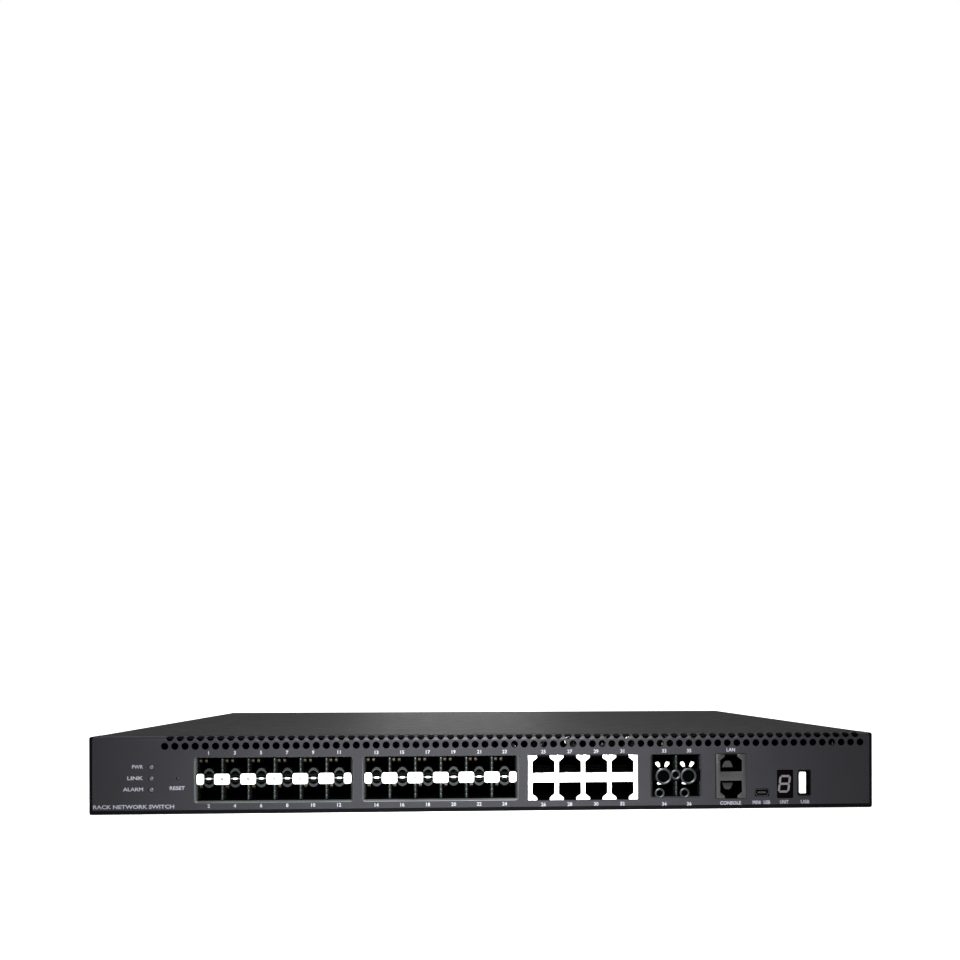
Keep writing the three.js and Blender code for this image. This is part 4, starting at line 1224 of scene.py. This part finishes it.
def fan_guard(index):
    """Welded wire: three rings on two crossing bars that end in screw loops, with four screws."""
    node = f"fan_guard_{index}"
    low, high = node_box(node)
    x = face_middle(node)[0]
    wire = GUARD_WIRE_RADIUS
    bm = bmesh.new()
    for radius in GUARD_RINGS:
        add_ring(bm, (x, high.y - wire, FAN_Z), radius, wire)
    for i in (-1, 1):
        path = []
        for t in (-1, -0.93, -0.86, -0.78, 0, 0.78, 0.86, 0.93, 1):
            lift = min(1, max(0, (1 - abs(t)) / 0.2))
            path.append((x + 14 * t, low.y + wire + lift * 0.5, FAN_Z + i * 14 * t))
        add_tube(bm, path, wire)
    for i, j in CORNERS:
        place = (x + i * FAN_SCREW_REACH, low.y + wire, FAN_Z + j * FAN_SCREW_REACH)
        add_ring(bm, place, 2.4, wire, 32)
        add_screw(bm, place[0], low.y + 0.1, place[2], 2.9, 1)
    replace_node(node, bm, [GUARD_WIRE, SCREW_BLACK], "guard_wire")


def add_screw(bm, x, y, z, radius, slot_index=0):
    """A domed cross-recess screw head that faces back from a start depth."""
    steps = 5
    rings = [[(u, y, v) for u, v in circle(x, z, radius, 32)]]
    for k in range(steps):
        t = math.pi / 2 * k / steps
        rings.append([(u, y + 0.5 + 1.3 * math.sin(t), v) for u, v in circle(x, z, radius * math.cos(t), 32)])
    stitch(bm, rings, capped=True, slot_index=slot_index)
    top = y + 0.5 + 1.3
    for long, wide in ((radius * 0.55, 0.25), (0.25, radius * 0.55)):
        add_box(bm, x - long, x + long, top - 0.5, top - 0.05, z - wide, z + wide, slot_index)


def ground_screw():
    low = node_box("ground_screw")[0]
    x, z = face_middle("ground_screw")
    bm = bmesh.new()
    add_rod(bm, "y", (x, low.y, z), GROUND_SHANK, DEPTH - low.y, 24)
    add_rod(bm, "y", (x, DEPTH + 0.1, z), 3.8, 0.5, 40)
    add_screw(bm, x, DEPTH + 0.5, z, 3.4)
    replace_node("ground_screw", bm, ZINC_SCREW, "nickel")


def power_inlet():
    """The appliance inlet: flange, chamfered well and three blades."""
    low, high = node_box("power_inlet")
    x, z = face_middle("power_inlet")
    bm = bmesh.new()

    def well(grow):
        return [(x + u * (1 + grow / 12), z + v * (1 + grow / 8))
                for u, v in ((-12.2, -8.3), (12.2, -8.3), (12.2, 4.8), (8.6, 8.3), (-8.6, 8.3), (-12.2, 4.8))]

    flange = high.y - 2.2
    add_prism(bm, "y", rounded_rectangle(low.x, high.x, low.z, high.z, 2, 5), flange, high.y, [well(0.4)])
    bevel(bm, 0.5, 3, 60)
    half_x, half_z = INLET_HALF
    body = rounded_rectangle(x - half_x, x + half_x, z - half_z, z + half_z, 1, 4)
    add_prism(bm, "y", body, DEPTH - INLET_BACK, flange + 0.4, [well(0)])
    add_prism(bm, "y", body, low.y, DEPTH - INLET_BACK)
    replace_node("power_inlet", bm, BLACK_PLASTIC, "black_plastic")
    for node in ("inlet_pin_line", "inlet_pin_neutral", "inlet_pin_earth"):
        pin_low, pin_high = node_box(node)
        bm = bmesh.new()
        add_box(bm, pin_low.x, pin_high.x, pin_low.y, pin_high.y, pin_low.z, pin_high.z)
        bevel(bm, 0.45, 3, 60)
        replace_node(node, bm, BRASS, "brass_contact")


def cover_screw(side, index):
    """A flat-headed cross-recess screw sunk in the side."""
    node = f"cover_screw_{side}_{index}"
    low, high = node_box(node)
    sign = 1 if side == "right" else -1
    outer = high.x if sign > 0 else low.x
    y, z = (low.y + high.y) / 2, SCREW_Z
    bm = bmesh.new()
    rings = []
    for radius, sink in ((2.0, 0.9), (2.7, 0.75), (2.7, 0.25), (2.45, 0.04), (2.2, 0)):
        rings.append([(outer - sign * sink, u, v) for u, v in circle(y, z, radius, 32)])
    stitch(bm, rings, capped=True)
    start = min(outer - sign * 6, outer - sign * 0.8)
    add_rod(bm, "x", (start, y, z), 1.5, 5.2, 20)
    for long, wide in ((1.5, 0.22), (0.22, 1.5)):
        # The cross recess is a thin slab of the near-black painted shade at the surface.
        add_box(bm, outer - 0.012, outer + 0.012, y - long, y + long, z - wide, z + wide, 1)
    bmesh.ops.recalc_face_normals(bm, faces=bm.faces)
    replace_node(node, bm, [SCREW_BLACK, SHADE_BLACK], "screw_black")


front_panel()
top_cover()
module_cage("module_cage_left")
module_cage("module_cage_right")
uplink_cage("uplink_cage")
module_contacts()
jack_shield("jack_block_shield", 4, NICKEL, "nickel")
jack_housing("jack_block_housing", 4)
jack_shield("console_jack_shield", 1, PORT_STEEL, "cage_steel")
jack_housing("console_jack_housing", 1, carriers=True)
usb_port()
mini_usb_port()
digit_display()
status_lights()
lettering()
base_chassis()
for number in (1, 2, 3):
    fan_frame(number)
    fan_rotor(number)
    fan_guard(number)
ground_screw()
power_inlet()
for number in (1, 2):
    for hand in ("left", "right"):
        cover_screw(hand, number)


# ---------------------------------------------------------------- stage, light and camera

CAMERA_PLACE = (-17.32, -450.06, 76.91)
CAMERA_YAW = 0.0468
CAMERA_ROLL = -0.0023
CAMERA_LENS = 30.19
CAMERA_SHIFT = (-0.0167, 0.2023)


def camera():
    data = bpy.data.cameras.new("camera")
    data.sensor_width = 36
    data.lens = CAMERA_LENS
    data.shift_x, data.shift_y = CAMERA_SHIFT
    data.clip_start = 0.01
    thing = add_object("camera", data)
    x, y, z = CAMERA_PLACE
    turn = (Matrix.Rotation(-CAMERA_YAW, 4, "Z") @ Matrix.Rotation(math.radians(90), 4, "X")
            @ Matrix.Rotation(CAMERA_ROLL, 4, "Z"))
    thing.matrix_world = Matrix.Translation((x * MM, FRONT + y * MM, z * MM)) @ turn
    bpy.context.scene.camera = thing


def add_lamp(name, kind, place, aim, power):
    """A lamp that points from one place to another, in metres. Returns its settings."""
    data = bpy.data.lights.new(name, kind)
    data.energy = power
    turn = (Vector(aim) - Vector(place)).to_track_quat("-Z", "Y").to_matrix().to_4x4()
    add_object(name, data).matrix_world = Matrix.Translation(place) @ turn
    return data


def studio():
    """A white sweep lit from all round, with soft lamps that brighten the middle of the face and the top."""
    bm = bmesh.new()
    bmesh.ops.create_grid(bm, x_segments=1, y_segments=1, size=6)
    mesh = bpy.data.meshes.new("floor")
    bm.to_mesh(mesh)
    bm.free()
    floor = add_object("floor", mesh)
    floor.location.z = -0.0002
    pale = Finish("floor_pale", (0.9, 0.9, 0.9), 0.9, specular=0.0)
    pale.tint(pale.noise(3), 0.01)
    pale.shader.inputs["Emission Color"].default_value = (1, 1, 1, 1)
    pale.shader.inputs["Emission Strength"].default_value = 0.75
    mesh.materials.append(pale.material)
    world = bpy.data.worlds.new("studio")
    world.use_nodes = True
    sky = world.node_tree.nodes["Background"].inputs
    sky["Color"].default_value = (1, 1, 1, 1)
    sky["Strength"].default_value = 1.0
    bpy.context.scene.world = world
    face_lamp = add_lamp("face_lamp", "SPOT", (-0.01, -0.62, 0.36), (-0.012, FRONT, 0.02), 100)
    face_lamp.spot_size = math.radians(45)
    face_lamp.spot_blend = 1
    face_lamp.shadow_soft_size = 0.08
    top_lamp = add_lamp("top_lamp", "AREA", (-0.02, 1.3, 0.34), (-0.02, 0.1, 0.04), 2.8)
    top_lamp.shape = "RECTANGLE"
    top_lamp.size, top_lamp.size_y = 0.40, 0.5


camera()
studio()
bpy.context.scene.view_settings.view_transform = "Standard"
